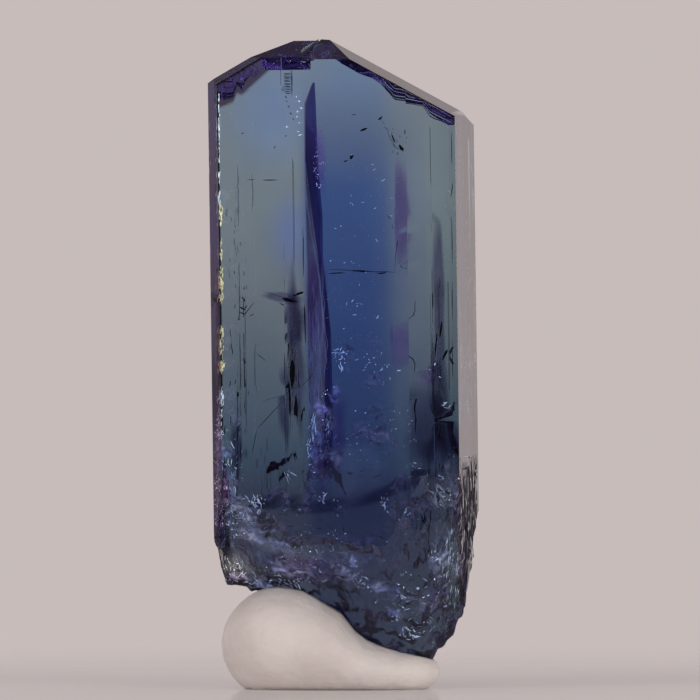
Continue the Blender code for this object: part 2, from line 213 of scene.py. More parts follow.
# The whole crystal leans a little to the left, about a point half way up
LEAN = math.radians(0.78)
LEAN_Z = 14.5

# Putty: a fat round lobe at the left that thins to a rounded tail at the right
LOBE_X = -2.75
LOBE_LENGTH = 2.68
LOBE_WAIST_Z = 1.95
TAIL_X = 2.5
TAIL_LENGTH = 1.38
TAIL_WAIST_Z = 0.75
PUTTY_TOP = (
    (-2.75, 4.4), (-2.0, 4.3), (-1.3, 3.95), (-0.4, 3.3), (0.9, 2.15), (1.7, 1.8), (2.5, 1.62),
)
PUTTY_HALF_DEPTH = ((-2.75, 3.55), (-0.6, 3.5), (1.2, 2.95), (2.5, 2.1))
PUTTY_UNDERSIDE = 0.14
PUTTY_RINGS = 26
PUTTY_SIDES = 34
PUTTY_WOBBLE = 0.09
PUTTY_WOBBLE_GRAIN = 0.45
SEAT_GAP = 0.03

# Facets between the back and the top: stepped along X on the left, stepped down the slope on the right
FACET_DEPTH = 4.0
LEFT_FACET_SEED = 11
LEFT_FACET_STRIPS = 46
LEFT_FACET_JAG = 0.16
LEFT_FACET_STEP = 0.07
LEFT_FACET_GAP = 0.004
RIGHT_FACET_STRIPS = 60
RIGHT_FACET_TREADS = 5
RIGHT_FACET_RISER = 0.13
RIGHT_FACET_DROP = 1.1
RIGHT_FACET_REACH = 0.6
# Where the stair fans out along X, how suddenly, and how ragged its risers, levels and edges are
FAN_START = 0.9
FAN_RUN = 3.9
FAN_EASE = 0.7
RISER_RAGGED = 0.35
LEVEL_RAGGED = 0.5
EDGE_RAGGED = 0.06
TREAD_EASE = 1.4

# Camera: the photograph's viewing angle and framing, for a frame of 700 by 700 pixels
CAMERA_AZIMUTH = math.radians(8.0)
CAMERA_ELEVATION = math.radians(1.25)
CAMERA_DISTANCE = 1000.0
FRAME_WIDTH = 29.75
FRAME_CENTRE = (0.289, 14.365)
SENSOR_WIDTH = 36.0

# Where a pixel of the photograph lies in the crystal's frame, on its front and, bent by the crystal, behind
PIXEL = 0.0425
ORIGIN_COLUMN = 338.86
ORIGIN_ROW = 688.0
FRONT_LIFT = 0.07
DEPTH_SHIFT = (-0.53, -0.083)

# Colours of the photograph's backdrop and of the crystal, as linear values
BACKDROP = (0.571, 0.503, 0.491)
ROOM = (0.045, 0.036, 0.045)
# Where reflections still see the backdrop, as the Y and Z of their direction, and after how many turns
# light comes from the dim room: with a reflection on its way, and without one
BACKDROP_Y = (0.5, 0.85)
BACKDROP_Z = (0.145, 0.03)
LONGEST_PATH = 3.5
LONGEST_CLEAR_PATH = 6.5

# Table: its radius, where it starts to fade into the backdrop, and how far it lies below the putty
FLOOR_RADIUS = 60.0
FLOOR_FADE = 58.0
FLOOR_GAP = 0.02

# Lights: what they point at, their sides in mm and their power
LIGHT_TARGET = (0, 0, 12)
LIGHT_SIDES = (120, 120)
LIGHT_POWER = 0.14
LIGHT_TURNS = 24
BRIGHTEST_INDIRECT = 4.0


def inside(column, row, depth):
    """The point of the crystal's frame seen at that pixel, at a share of its depth: 0 front, 1 back."""
    z = (ORIGIN_ROW - row) * PIXEL + FRONT_LIFT + DEPTH_SHIFT[1] * depth
    x = (column - ORIGIN_COLUMN) * PIXEL / math.cos(CAMERA_AZIMUTH) + DEPTH_SHIFT[0] * depth
    return Vector((x + (z - LEAN_Z) * math.tan(LEAN), FRONT_Y + (BACK_Y - FRONT_Y) * depth, z))


def object_from(name, bm):
    """An object of this name holding the bmesh, still in the crystal's frame."""
    bmesh.ops.recalc_face_normals(bm, faces=bm.faces)
    mesh = bpy.data.meshes.new(name)
    bm.to_mesh(mesh)
    bm.free()
    obj = bpy.data.objects.new(name, mesh)
    bpy.context.scene.collection.objects.link(obj)
    return obj


def subtract(target, cutters):
    """Takes each cutter away from target for good, and removes it."""
    for obj in cutters:
        cut = target.modifiers.new(obj.name, "BOOLEAN")
        cut.operation = "DIFFERENCE"
        cut.solver = "MANIFOLD"
        cut.object = obj
    graph = bpy.context.evaluated_depsgraph_get()
    done = bpy.data.meshes.new_from_object(target.evaluated_get(graph))
    target.modifiers.clear()
    target.data = done
    for obj in cutters:
        bpy.data.objects.remove(obj, do_unlink=True)


def back_plane(point, fall, x, y, offset=0.0):
    """The height of a facet between the back and the top at (x, y), moved outwards by offset."""
    normal = Vector((
        math.sin(BACK_FACET_TILT) * math.sin(fall),
        math.cos(BACK_FACET_TILT),
        math.sin(BACK_FACET_TILT) * math.cos(fall),
    ))
    return point[1] + (offset - normal.x * (x - point[0]) - normal.y * (y - BACK_Y)) / normal.z


def left_facet_cut():
    """The left back facet, broken into upright growth strips that stand a little proud of each other."""
    rng = random.Random(LEFT_FACET_SEED)
    start = LEFT_X - 1.0
    end = SUMMIT_SPLIT_X + 0.01
    deep = BACK_Y - FACET_DEPTH
    edges = [start + (end - start) * i / LEFT_FACET_STRIPS for i in range(LEFT_FACET_STRIPS + 1)]
    rings = []
    offset = 0.0
    for x0, x1 in zip(edges, edges[1:]):
        offset = max(0.0, min(LEFT_FACET_JAG, offset + rng.uniform(-LEFT_FACET_STEP, LEFT_FACET_STEP)))
        for x in (x0 + LEFT_FACET_GAP, x1 - LEFT_FACET_GAP):
            low = back_plane(LEFT_FACET_POINT, LEFT_FACET_FALL, x, BACK_Y + 1, offset)
            high = back_plane(LEFT_FACET_POINT, LEFT_FACET_FALL, x, deep, offset)
            rings.append([(x, BACK_Y + 1, low), (x, BACK_Y + 1, PRISM_TOP_Z), (x, deep, high)])
    return loft(rings)


def right_facet_cut():
    """The right back facet, a stair of slopes and upright risers that fans out to the right."""
    start = SUMMIT_SPLIT_X
    end = RIGHT_X + 1.0
    deep = BACK_Y - FACET_DEPTH
    rings = []

    def height(x, y):
        return back_plane(RIGHT_FACET_POINT, RIGHT_FACET_FALL, x, y)

    for i in range(RIGHT_FACET_STRIPS + 1):
        x = start + (end - start) * i / RIGHT_FACET_STRIPS
        across = min(1.0, max(0.0, (x - FAN_START) / FAN_RUN))
        fan = max(0.0, math.sin(math.pi * across)) ** FAN_EASE
        lift = -RIGHT_FACET_RISER * fan * (1 + RISER_RAGGED * noise.noise(Vector((x * 3.1, 0, 0))))
        y = BACK_Y
        ring = [(x, y + 1, PRISM_TOP_Z + 4), (x, y + 1, height(x, y) + lift - RIGHT_FACET_DROP)]
        for k in range(RIGHT_FACET_TREADS):
            ragged = 1 + LEVEL_RAGGED * noise.noise(Vector((x * 1.3, k * 3.7, 5)))
            level = lift * (1 - k / RIGHT_FACET_TREADS) * ragged
            ring.append((x, y, height(x, y) + level))
            share = (k + 1) / RIGHT_FACET_TREADS
            ragged = EDGE_RAGGED * noise.noise(Vector((x * 1.7, k * 2.3, 0)))
            y = BACK_Y - RIGHT_FACET_REACH * share ** TREAD_EASE - ragged
            ring.append((x, y, height(x, y) + level))
        ring.append((x, y, height(x, y)))
        ring.append((x, deep, height(x, deep)))
        rings.append(ring)
    return loft(rings)


def through(points, x):
    """The height at x of a smooth line through a few (x, height) points."""
    if x <= points[0][0]:
        return points[0][1]
    for (x0, z0), (x1, z1) in zip(points, points[1:]):
        if x <= x1:
            t = (x - x0) / (x1 - x0)
            return z0 + (z1 - z0) * t * t * (3 - 2 * t)
    return points[-1][1]


def loft(rings):
    """A closed skin over rings of points that all have the same number of points."""
    bm = bmesh.new()
    made = [[bm.verts.new(point) for point in ring] for ring in rings]
    count = len(made[0])
    for lower, upper in zip(made, made[1:]):
        for i in range(count):
            j = (i + 1) % count
            bm.faces.new((lower[i], lower[j], upper[j], upper[i]))
    bm.faces.new(made[0][::-1])
    bm.faces.new(made[-1])
    return bm


def growth(x, z):
    """How deep a growth line is at a height: 0 where it dies away, 1 at most, more often low down."""
    wave = noise.noise(Vector((x * GROWTH_SPREAD, 0.0, z * GROWTH_WAVE)))
    return max(0.0, min(1.0, GROWTH_FOOT - GROWTH_FALL * z + GROWTH_SWING * wave))


def grown_face(edge_y, inward, start_x, end_x, steps, lines, z):
    """The points along a broad face at a height: its steps, and the growth lines between them."""
    sign = 1 if end_x > start_x else -1
    marks = [(x, 0.0, level, True) for x, level in steps]
    marks += [(x, wide, deep, False) for x, wide, deep in lines]
    marks.sort(key=lambda mark: sign * mark[0])
    points = [(start_x, edge_y, z)]
    back = 0.0
    for x, wide, deep, is_step in marks:
        if is_step:
            points.append((x - sign * STEP_RUN, edge_y + inward * back, z))
            back = deep
            points.append((x, edge_y + inward * back, z))
            continue
        sunk = back + deep * growth(x, z)
        half = sign * wide / 2
        run = sign * LINE_RUN
        for at, level in ((x - half - run, back), (x - half, sunk), (x + half, sunk), (x + half + run, back)):
            points.append((at, edge_y + inward * level, z))
    points.append((end_x, edge_y + inward * back, z))
    return points


def cross_section(z):
    """The prism's outline at a height, seen from above, anticlockwise from its front left corner."""
    bevel_x, bevel_y = FRONT_LEFT_BEVEL
    cut_x, cut_y = BACK_RIGHT_BEVEL
    front = grown_face(FRONT_Y, 1, LEFT_X + bevel_x, RIGHT_X, FRONT_STEPS, FRONT_LINES, z)
    back = grown_face(BACK_Y, -1, RIGHT_X - cut_x, LEFT_X, BACK_STEPS, BACK_LINES, z)
    return front + [(RIGHT_X, BACK_Y - cut_y, z)] + back + [(LEFT_X, FRONT_Y + bevel_y, z)]


def cut_flat(bm, point, normal):
    """Cuts off all that lies beyond a plane, and closes the cut with a flat face."""
    geometry = bm.verts[:] + bm.edges[:] + bm.faces[:]
    cut = bmesh.ops.bisect_plane(
        bm, geom=geometry, plane_co=point, plane_no=normal, clear_outer=True, dist=1e-5
    )
    rim = [item for item in cut["geom_cut"] if isinstance(item, bmesh.types.BMEdge)]
    bmesh.ops.contextual_create(bm, geom=rim)


def crystal_prism():
    """The prism with its two sloping domes and the bevel along its left one."""
    rise = PRISM_TOP_Z - PRISM_FOOT_Z
    bm = loft([cross_section(PRISM_FOOT_Z + rise * i / PRISM_LEVELS) for i in range(PRISM_LEVELS + 1)])
    right = Vector((math.sin(DOME_SLOPE), RIGHT_DOME_BACK_FALL, math.cos(DOME_SLOPE)))
    left = Vector((-math.sin(LEFT_DOME_SLOPE), 0, math.cos(LEFT_DOME_SLOPE)))
    cut_flat(bm, Vector(RIGHT_DOME_POINT), right)
    cut_flat(bm, Vector(LEFT_DOME_POINT), left)
    cut_flat(bm, Vector(TOP_BEVEL_POINT), left + Vector((0, -1, 0)))
    cut_flat(bm, Vector(TOP_RIGHT_CORNER_POINT), Vector(TOP_RIGHT_CORNER_NORMAL))
    return bm


def summit_cut(plane, from_x, to_x):
    """A block over one half of the summit, down to the gently sloping plane of that half."""
    height, rise_x, rise_y = plane
    rings = []
    for x in (from_x, to_x):
        low = [(x, y, height + rise_x * x + rise_y * y) for y in (FRONT_Y - 1, BACK_Y + 1)]
        high = [(x, y, PRISM_TOP_Z + 1) for y in (BACK_Y + 1, FRONT_Y - 1)]
        rings.append(low + high)
    return loft(rings)


def back_shoulder():
    """A wedge that takes the shoulder off the back of the summit's left half."""
    rise = SHOULDER_RUN * math.tan(BACK_FACET_TILT)
    low = (BACK_Y + SHOULDER_RUN, BACK_SHOULDER_Z - rise)
    high = (BACK_Y - SHOULDER_RUN, BACK_SHOULDER_Z + rise)
    section = (low, (low[0], high[1]), high)
    return loft([[(x, y, z) for y, z in section] for x in (SUMMIT_SPLIT_X, LEFT_X - 1.0)])


def groove():
    """A furrow in the back with two sloping walls, drawn to a point at its top."""
    rings = []
    for z, left, right, depth, share in GROOVE:
        keel = left + (right - left) * share
        more = (depth + GROOVE_PROUD) / depth
        rings.append([
            (keel + (left - keel) * more, BACK_Y + GROOVE_PROUD, z),
            (keel, BACK_Y - depth, z),
            (keel + (right - keel) * more, BACK_Y + GROOVE_PROUD, z),
        ])
    return loft(rings)


def panel(outline):
    """A shallow sunk panel, whose rim slopes from the back face to its floor."""
    centre = Vector((sum(p[0] for p in outline), sum(p[1] for p in outline))) / len(outline)
    outer = []
    floor = []
    for x, z, depth, rim in outline:
        inward = (centre - Vector((x, z))).normalized() * rim
        outer.append((x - inward.x / 2, BACK_Y + depth * PANEL_PROUD, z - inward.y / 2))
        floor.append((x + inward.x, BACK_Y - depth, z + inward.y))
    return loft([outer, floor])


def fracture_height(x, y):
    """The height of the broken underside: two hollow slopes that meet in a keel."""
    keel = through(KEEL, x)
    keel_y = through(KEEL_Y, x)
    if y < keel_y:
        edge, reach, hollow = through(FRONT_EDGE, x), keel_y - FRONT_Y, FRONT_HOLLOW
    else:
        edge, reach, hollow = through(BACK_EDGE, x), BACK_Y - keel_y, BACK_HOLLOW
    t = abs(y - keel_y) / reach
    return keel + (edge - keel) * t ** BASE_BLUNTNESS + hollow * max(0.0, t * t * (1 - t)) * 4


def fracture_point(x, y):
    """A point of the broken underside, with its shell-shaped hollows sunk square to the slope."""
    rise_x = fracture_height(x + SLOPE_NUDGE, y) - fracture_height(x - SLOPE_NUDGE, y)
    rise_y = fracture_height(x, y + SLOPE_NUDGE) - fracture_height(x, y - SLOPE_NUDGE)
    lean_x, lean_y = (
        max(-STEEPEST_SINK, min(STEEPEST_SINK, rise / (2 * SLOPE_NUDGE))) for rise in (rise_x, rise_y)
    )
    inward = Vector((-lean_x, -lean_y, 1)).normalized()
    point = Vector((x, y, fracture_height(x, y)))
    sunk = 0.0
    for scale, depth in CELLS:
        nearest = noise.voronoi(point * scale)[0][0]
        sunk += depth * (1 - min(1.0, nearest * CELL_SPREAD) ** 2)
    return point + inward * (sunk - CELL_RAISE)


def fracture_block(drop, far_z):
    """A block between the broken underside, lowered by drop, and a flat face at far_z."""
    counts = [round((high - low) / FRACTURE_STEP) for low, high in (FRACTURE_X, FRACTURE_Y)]
    xs = [FRACTURE_X[0] + (FRACTURE_X[1] - FRACTURE_X[0]) * i / counts[0] for i in range(counts[0] + 1)]
    ys = [FRACTURE_Y[0] + (FRACTURE_Y[1] - FRACTURE_Y[0]) * j / counts[1] for j in range(counts[1] + 1)]
    bm = bmesh.new()
    down = Vector((0, 0, -drop))
    surface = [[bm.verts.new(fracture_point(x, y) + down) for y in ys] for x in xs]
    for near, far in zip(surface, surface[1:]):
        for j in range(len(ys) - 1):
            bm.faces.new((near[j], far[j], far[j + 1], near[j + 1]))
    border = [column[0] for column in surface] + surface[-1][1:]
    border += [column[-1] for column in surface[-2::-1]] + surface[0][-2:0:-1]
    foot = [bm.verts.new((vert.co.x, vert.co.y, far_z)) for vert in border]
    for i, vert in enumerate(border):
        j = (i + 1) % len(border)
        bm.faces.new((vert, border[j], foot[j], foot[i]))
    bm.faces.new(foot)
    bmesh.ops.triangulate(bm, faces=bm.faces)
    return bm


def chip(x, y, z, half_width, half_depth, half_height):
    """A rough ellipsoid, which leaves a small shell-shaped hollow in an edge."""
    bm = bmesh.new()
    bmesh.ops.create_icosphere(bm, subdivisions=2, radius=1.0)
    for vert in bm.verts:
        swell = 1 + CHIP_ROUGHNESS * noise.noise(vert.co * CHIP_GRAIN + Vector((x, y, z)))
        vert.co *= swell
        vert.co = Vector((
            x + vert.co.x * half_width, y + vert.co.y * half_depth, z + vert.co.z * half_height
        ))
    return bm


def side_flute(y, top, radius, rng):
    """A slender spindle that leaves an upright flute in the right side face."""
    rings = []
    for i in range(FLUTE_LEVELS + 1):
        t = i / FLUTE_LEVELS
        z = FLUTE_FOOT + (top - FLUTE_FOOT) * t
        wide = radius * (1 - t) ** FLUTE_TAPER + FLUTE_TIP_RADIUS
        middle = Vector((RIGHT_X + FLUTE_PROUD + rng.uniform(-FLUTE_SWAY, FLUTE_SWAY), y, z))
        rings.append([middle + Vector((math.cos(a), math.sin(a), 0)) * wide for a in FLUTE_ANGLES])
    return loft(rings)


def splinter_cut():
    """A fluted wedge that leaves long upright fibres where the front right corner broke away."""
    low, high = SPLINTER_Z
    half = SPLINTER_HALF_WIDTH
    across = Vector((1, 1, 0)).normalized()
    outward = Vector((1, -1, 0)).normalized()
    flutes = round(2 * half / (SPLINTER_PITCH / 2))
    grain_across, grain_up = SPLINTER_GRAIN
    rings = []
    for k in range(SPLINTER_LEVELS + 1):
        t = k / SPLINTER_LEVELS
        z = low + (high - low) * t
        corner = Vector((RIGHT_X, FRONT_Y, z))
        deep = SPLINTER_DEPTH * math.cos(t * math.pi / 2) ** SPLINTER_FADE
        ring = []
        for i in range(flutes + 1):
            s = -half + 2 * half * i / flutes
            ragged = abs(noise.noise(Vector((s * grain_across, 0, z * grain_up))))
            jag = SPLINTER_JAG * (i % 2) * (SPLINTER_LEAST_JAG + ragged)
            bow = SPLINTER_BOW * (s / half) ** 2
            ring.append(corner + across * s + outward * (bow + jag - deep))
        ring.append(corner + across * half + outward * SPLINTER_OUTSIDE)
        ring.append(corner - across * half + outward * SPLINTER_OUTSIDE)
        rings.append(ring)
    return loft(rings)


def putty_section(x):
    """The half depth, top and hidden underside of the putty at x, and how round it is there."""
    roundness = 1.0
    waist = 0.0
    if x < LOBE_X:
        roundness = math.sqrt(max(0.0, 1 - ((x - LOBE_X) / LOBE_LENGTH) ** 2))
        waist = LOBE_WAIST_Z
    elif x > TAIL_X:
        roundness = math.sqrt(max(0.0, 1 - ((x - TAIL_X) / TAIL_LENGTH) ** 2))
        waist = TAIL_WAIST_Z
    top = through(PUTTY_TOP, x)
    under = -PUTTY_UNDERSIDE * top
    half_depth = through(PUTTY_HALF_DEPTH, x) * roundness
    return half_depth, waist + (top - waist) * roundness, waist + (under - waist) * roundness


def putty_lump():
    """The lump before the crystal's seat is pressed into it, with a flat underside."""
    start = LOBE_X - LOBE_LENGTH
    end = TAIL_X + TAIL_LENGTH
    rings = []
    for k in range(1, PUTTY_RINGS):
        x = (start + end) / 2 - (end - start) / 2 * math.cos(math.pi * k / PUTTY_RINGS)
        half_depth, top, under = putty_section(x)
        ring = []
        for i in range(PUTTY_SIDES):
            angle = 2 * math.pi * i / PUTTY_SIDES
            point = Vector((
                x,
                half_depth * math.cos(angle),
                (top + under) / 2 + (top - under) / 2 * math.sin(angle),
            ))
            swell = PUTTY_WOBBLE * noise.noise(point * PUTTY_WOBBLE_GRAIN)
            point += Vector((0, math.cos(angle), math.sin(angle))) * swell
            point.z = max(0.0, point.z)
            ring.append(point)
        rings.append(ring)
    return loft(rings)


def thread(bm, points, radius):
    """A fine closed fibre along a line of points, drawn to a tip at both ends."""
    rings = []
    for i, point in enumerate(points):
        ahead = points[min(i + 1, len(points) - 1)] - points[max(i - 1, 0)]
        side = ahead.orthogonal().normalized()
        up = ahead.cross(side).normalized()
        t = i / (len(points) - 1)
        wide = radius * (0.25 + math.sin(math.pi * t) ** 0.5)
        rings.append([
            bm.verts.new(point + (side * math.cos(a) + up * math.sin(a)) * wide)
            for a in (0, 2 * math.pi / 3, 4 * math.pi / 3)
        ])
    for low, high in zip(rings, rings[1:]):
        for i in range(3):
            bm.faces.new((low[i], low[(i + 1) % 3], high[(i + 1) % 3], high[i]))
    bm.faces.new(rings[0][::-1])
    bm.faces.new(rings[-1])


def flake(bm, centre, length, width, turn, tilt, rng, corners=7):
    """A small closed lens with a ragged rim, seen face on from the front unless tilted."""
    spin = Matrix.Rotation(-turn, 3, "Y") @ Matrix.Rotation(tilt, 3, "X")
    rim = []
    for i in range(corners):
        a = 2 * math.pi * i / corners
        reach = rng.uniform(0.55, 1.0)
        rim.append(bm.verts.new(
            centre + spin @ Vector((length / 2 * math.cos(a) * reach, 0, width / 2 * math.sin(a) * reach))
        ))
    thick = min(length, width) * 0.15
    near = bm.verts.new(centre + spin @ Vector((0, -thick, 0)))
    far = bm.verts.new(centre + spin @ Vector((0, thick, 0)))
    for i in range(corners):
        j = (i + 1) % corners
        bm.faces.new((rim[i], rim[j], near))
        bm.faces.new((rim[j], rim[i], far))


def somewhere(rng):
    """A random place in the noise, so that each shape has a pattern of its own."""
    return Vector((rng.uniform(-9, 9), rng.uniform(-9, 9), rng.uniform(-9, 9)))


def wavy(start, end, count, sway, rng):
    """Points along a line between two places that wanders a little sideways."""
    shift = somewhere(rng)
    points = []
    for i in range(count + 1):
        t = i / count
        point = start.lerp(end, t)
        drift = noise.noise_vector(point * WAVE_GRAIN + shift) * sway * math.sin(math.pi * t)
        points.append(point + drift)
    return points


class Nodes:
    """A node tree under construction. Where a value is asked for, a node output will do too."""

    def __init__(self, tree):
        self.nodes = tree.nodes
        self.links = tree.links

    def add(self, kind, **settings):
        node = self.nodes.new(kind)
        for key, value in settings.items():
            setattr(node, key, value)
        return node

    def join(self, source, target):
        self.links.new(source, target)

    def fill(self, node, values):
        """Fills the sockets of a node, given by their numbers."""
        for index, value in values.items():
            socket = node.inputs[index]
            if isinstance(value, bpy.types.NodeSocket):
                self.join(value, socket)
            elif isinstance(value, tuple):
                socket.default_value = (*value, 1.0)
            else:
                socket.default_value = value
        return node

    def mix(self, factor, first, second, how="MIX"):
        """A colour between two others, or one times the other where how is MULTIPLY."""
        node = self.add("ShaderNodeMix", data_type="RGBA", blend_type=how)
        return self.fill(node, {0: factor, 6: first, 7: second}).outputs[2]

    def math(self, operation, first, second):
        node = self.add("ShaderNodeMath", operation=operation)
        return self.fill(node, {0: first, 1: second}).outputs[0]

    def ramp(self, value, low, high, to=(0.0, 1.0), smooth=True):
        """A value carried from one range to another, held at its ends."""
        node = self.add("ShaderNodeMapRange", interpolation_type="SMOOTHSTEP" if smooth else "LINEAR")
        return self.fill(node, {0: value, 1: low, 2: high, 3: to[0], 4: to[1]}).outputs["Result"]

    def parts(self, vector):
        """The X, Y and Z outputs of a vector."""
        split = self.add("ShaderNodeSeparateXYZ")
        self.join(vector, split.inputs[0])
        return split.outputs


class Look(Nodes):
    """A material under construction: its nodes, its shader and its output."""

    def __init__(self, name):
        self.material = bpy.data.materials.new(name)
        self.material.use_nodes = True
        super().__init__(self.material.node_tree)
        self.shader = self.nodes["Principled BSDF"]
        self.output = self.nodes["Material Output"]

    def set(self, values):
        """Sets sockets of the shader to values that are the same all over the surface."""
        for name, value in values.items():
            self.shader.inputs[name].default_value = value

    def see_through(self, factor):
        """Shows the shader where the factor is 1, and nothing where it is 0."""
        clear = self.add("ShaderNodeBsdfTransparent")
        blend = self.add("ShaderNodeMixShader")
        self.join(factor, blend.inputs[0])
        self.join(clear.outputs[0], blend.inputs[1])
        self.join(self.shader.outputs[0], blend.inputs[2])
        self.join(blend.outputs[0], self.output.inputs["Surface"])

    def place(self):
        """The crystal's own frame on the surface, in millimetres, as a node output."""
        coordinates = self.add("ShaderNodeTexCoord")
        into = self.add("ShaderNodeMapping", vector_type="POINT")
        shift = PLACE.inverted().translation
        into.inputs["Location"].default_value = shift
        into.inputs["Rotation"].default_value = (0.0, LEAN, 0.0)
        into.inputs["Scale"].default_value = (1 / MM, 1 / MM, 1 / MM)
        self.join(coordinates.outputs["Object"], into.inputs["Vector"])
        return into.outputs[0]

    def zone(self, place, centre, radii, softness):
        """1 inside an ellipsoid, fading to 0 at its rim."""
        move = self.add("ShaderNodeVectorMath", operation="SUBTRACT")
        move.inputs[1].default_value = centre
        self.join(place, move.inputs[0])
        squash = self.add("ShaderNodeVectorMath", operation="DIVIDE")
        squash.inputs[1].default_value = radii
        self.join(move.outputs[0], squash.inputs[0])
        reach = self.add("ShaderNodeVectorMath", operation="LENGTH")
        self.join(squash.outputs[0], reach.inputs[0])
        return self.ramp(reach.outputs["Value"], 1.0, 1.0 - softness)

    def grain(self, place, scale, detail=4.0, stretch=(1.0, 1.0, 1.0)):
        """Noise between 0 and 1 with so many lumps per millimetre."""
        shape = self.add("ShaderNodeMapping")
        shape.inputs["Scale"].default_value = stretch
        self.join(place, shape.inputs["Vector"])
        texture = self.add("ShaderNodeTexNoise")
        texture.inputs["Scale"].default_value = scale
        texture.inputs["Detail"].default_value = detail
        self.join(shape.outputs[0], texture.inputs["Vector"])
        return texture.outputs["Fac"]

    def gradient(self, value, stops):
        """A colour that runs through (value, colour) stops."""
        low, high = stops[0][0], stops[-1][0]
        node = self.add("ShaderNodeValToRGB")
        while len(node.color_ramp.elements) < len(stops):
            node.color_ramp.elements.new(0.5)
        for element, (at, colour) in zip(node.color_ramp.elements, stops):
            element.position = (at - low) / (high - low)
            element.color = (*colour, 1.0)
        self.join(self.ramp(value, low, high, smooth=False), node.inputs[0])
        return node.outputs["Color"]

    def rim_fade(self):
        """1 in the middle of a sheet, 0 at its rim."""
        coordinates = self.add("ShaderNodeTexCoord")
        return self.ramp(self.parts(coordinates.outputs["UV"])["X"], 0.98, 0.45)

    def bump(self, height, strength, distance):
        node = self.add("ShaderNodeBump")
        node.inputs["Strength"].default_value = strength
        node.inputs["Distance"].default_value = distance
        self.join(height, node.inputs["Height"])
        self.join(node.outputs[0], self.shader.inputs["Normal"])


# Tints of the crystal, each for one pass through it: patches as centre, radii, softness and tint
TINT_BODY = (0.50, 0.82, 0.65)
TINT_PATCHES = (
    ((4.9, 0.0, 14.0), (2.6, 9.0, 18.0), 0.8, (0.40, 0.70, 0.54)),
    ((-2.9, 0.0, 24.7), (3.0, 9.0, 3.8), 0.8, (0.46, 0.87, 1.00)),
    ((0.4, 0.0, 26.0), (2.8, 9.0, 3.6), 0.8, (0.42, 0.83, 0.92)),
    ((-2.2, 0.0, 19.4), (1.5, 9.0, 2.6), 0.9, (0.36, 0.66, 0.98)),
)
TINT_CORE = (0.115, 0.30, 0.58)
CORE_LEFT = (-1.75, -1.2)
CORE_RIGHT = (3.9, 1.0)
CORE_TOP = (27.5, 20.5)
CORE_FOOT = (4.0, 15.0, (0.45, 1.0))
# Painted shade down the left bevel, tinted violet
LEFT_EDGE_SHADE_TINT = (0.08, 0.045, 0.09)
# Painted shade: faces that show darker than the body, as a point, the way that it faces, its reach inwards,
# its tint
RIGHT_DOME_WAY = (math.sin(DOME_SLOPE), RIGHT_DOME_BACK_FALL, math.cos(DOME_SLOPE))
LEFT_DOME_WAY = (-math.sin(LEFT_DOME_SLOPE), 0.0, math.cos(LEFT_DOME_SLOPE))
TOP_BEVEL_WAY = (LEFT_DOME_WAY[0], -1.0, LEFT_DOME_WAY[2])
LEFT_FACET_WAY = (
    math.sin(BACK_FACET_TILT) * math.sin(LEFT_FACET_FALL),
    math.cos(BACK_FACET_TILT),
    math.sin(BACK_FACET_TILT) * math.cos(LEFT_FACET_FALL),
)
FACE_SHADE_TINTS = (
    (RIGHT_DOME_POINT, RIGHT_DOME_WAY, 0.1, (0.10, 0.075, 0.07)),
    (LEFT_DOME_POINT, LEFT_DOME_WAY, 0.1, (0.035, 0.025, 0.03)),
    (TOP_BEVEL_POINT, TOP_BEVEL_WAY, 0.1, (0.05, 0.035, 0.04)),
    ((LEFT_FACET_POINT[0], BACK_Y, LEFT_FACET_POINT[1]), LEFT_FACET_WAY, 0.2, (0.05, 0.035, 0.05)),
    ((RIGHT_X, 0.0, 10.0), (1.0, 0.0, -0.06), 0.12, (0.10, 0.08, 0.11)),
)
# The clear corner low on the left, greenish and pale
PALE_CORNER = ((-5.2, 0.0, 5.2), (1.2, 9.0, 0.9), 0.7)
TINT_PALE_CORNER = (0.40, 0.42, 0.36)
# Where the painted shade down the left bevel lies, as centre, radii and softness
LEFT_EDGE_SHADE_ZONE = ((-5.5, -2.7, 14.0), (0.74, 0.82, 60.0), 0.25)
# Painted shade: darkening down the prism, as (height, share of each colour that is left)
DARKENING = (
    (3.0, (0.16, 0.16, 0.26)),
    (8.1, (0.17, 0.18, 0.29)),
    (10.2, (0.25, 0.33, 0.47)),
    (12.3, (0.42, 0.48, 0.58)),
    (16.5, (0.74, 0.74, 0.79)),
    (20.8, (1.0, 1.0, 1.0)),
)
ABSORPTION_COLOUR = (0.46, 0.25, 0.74, 1.0)
ABSORPTION_DENSITY = 120.0


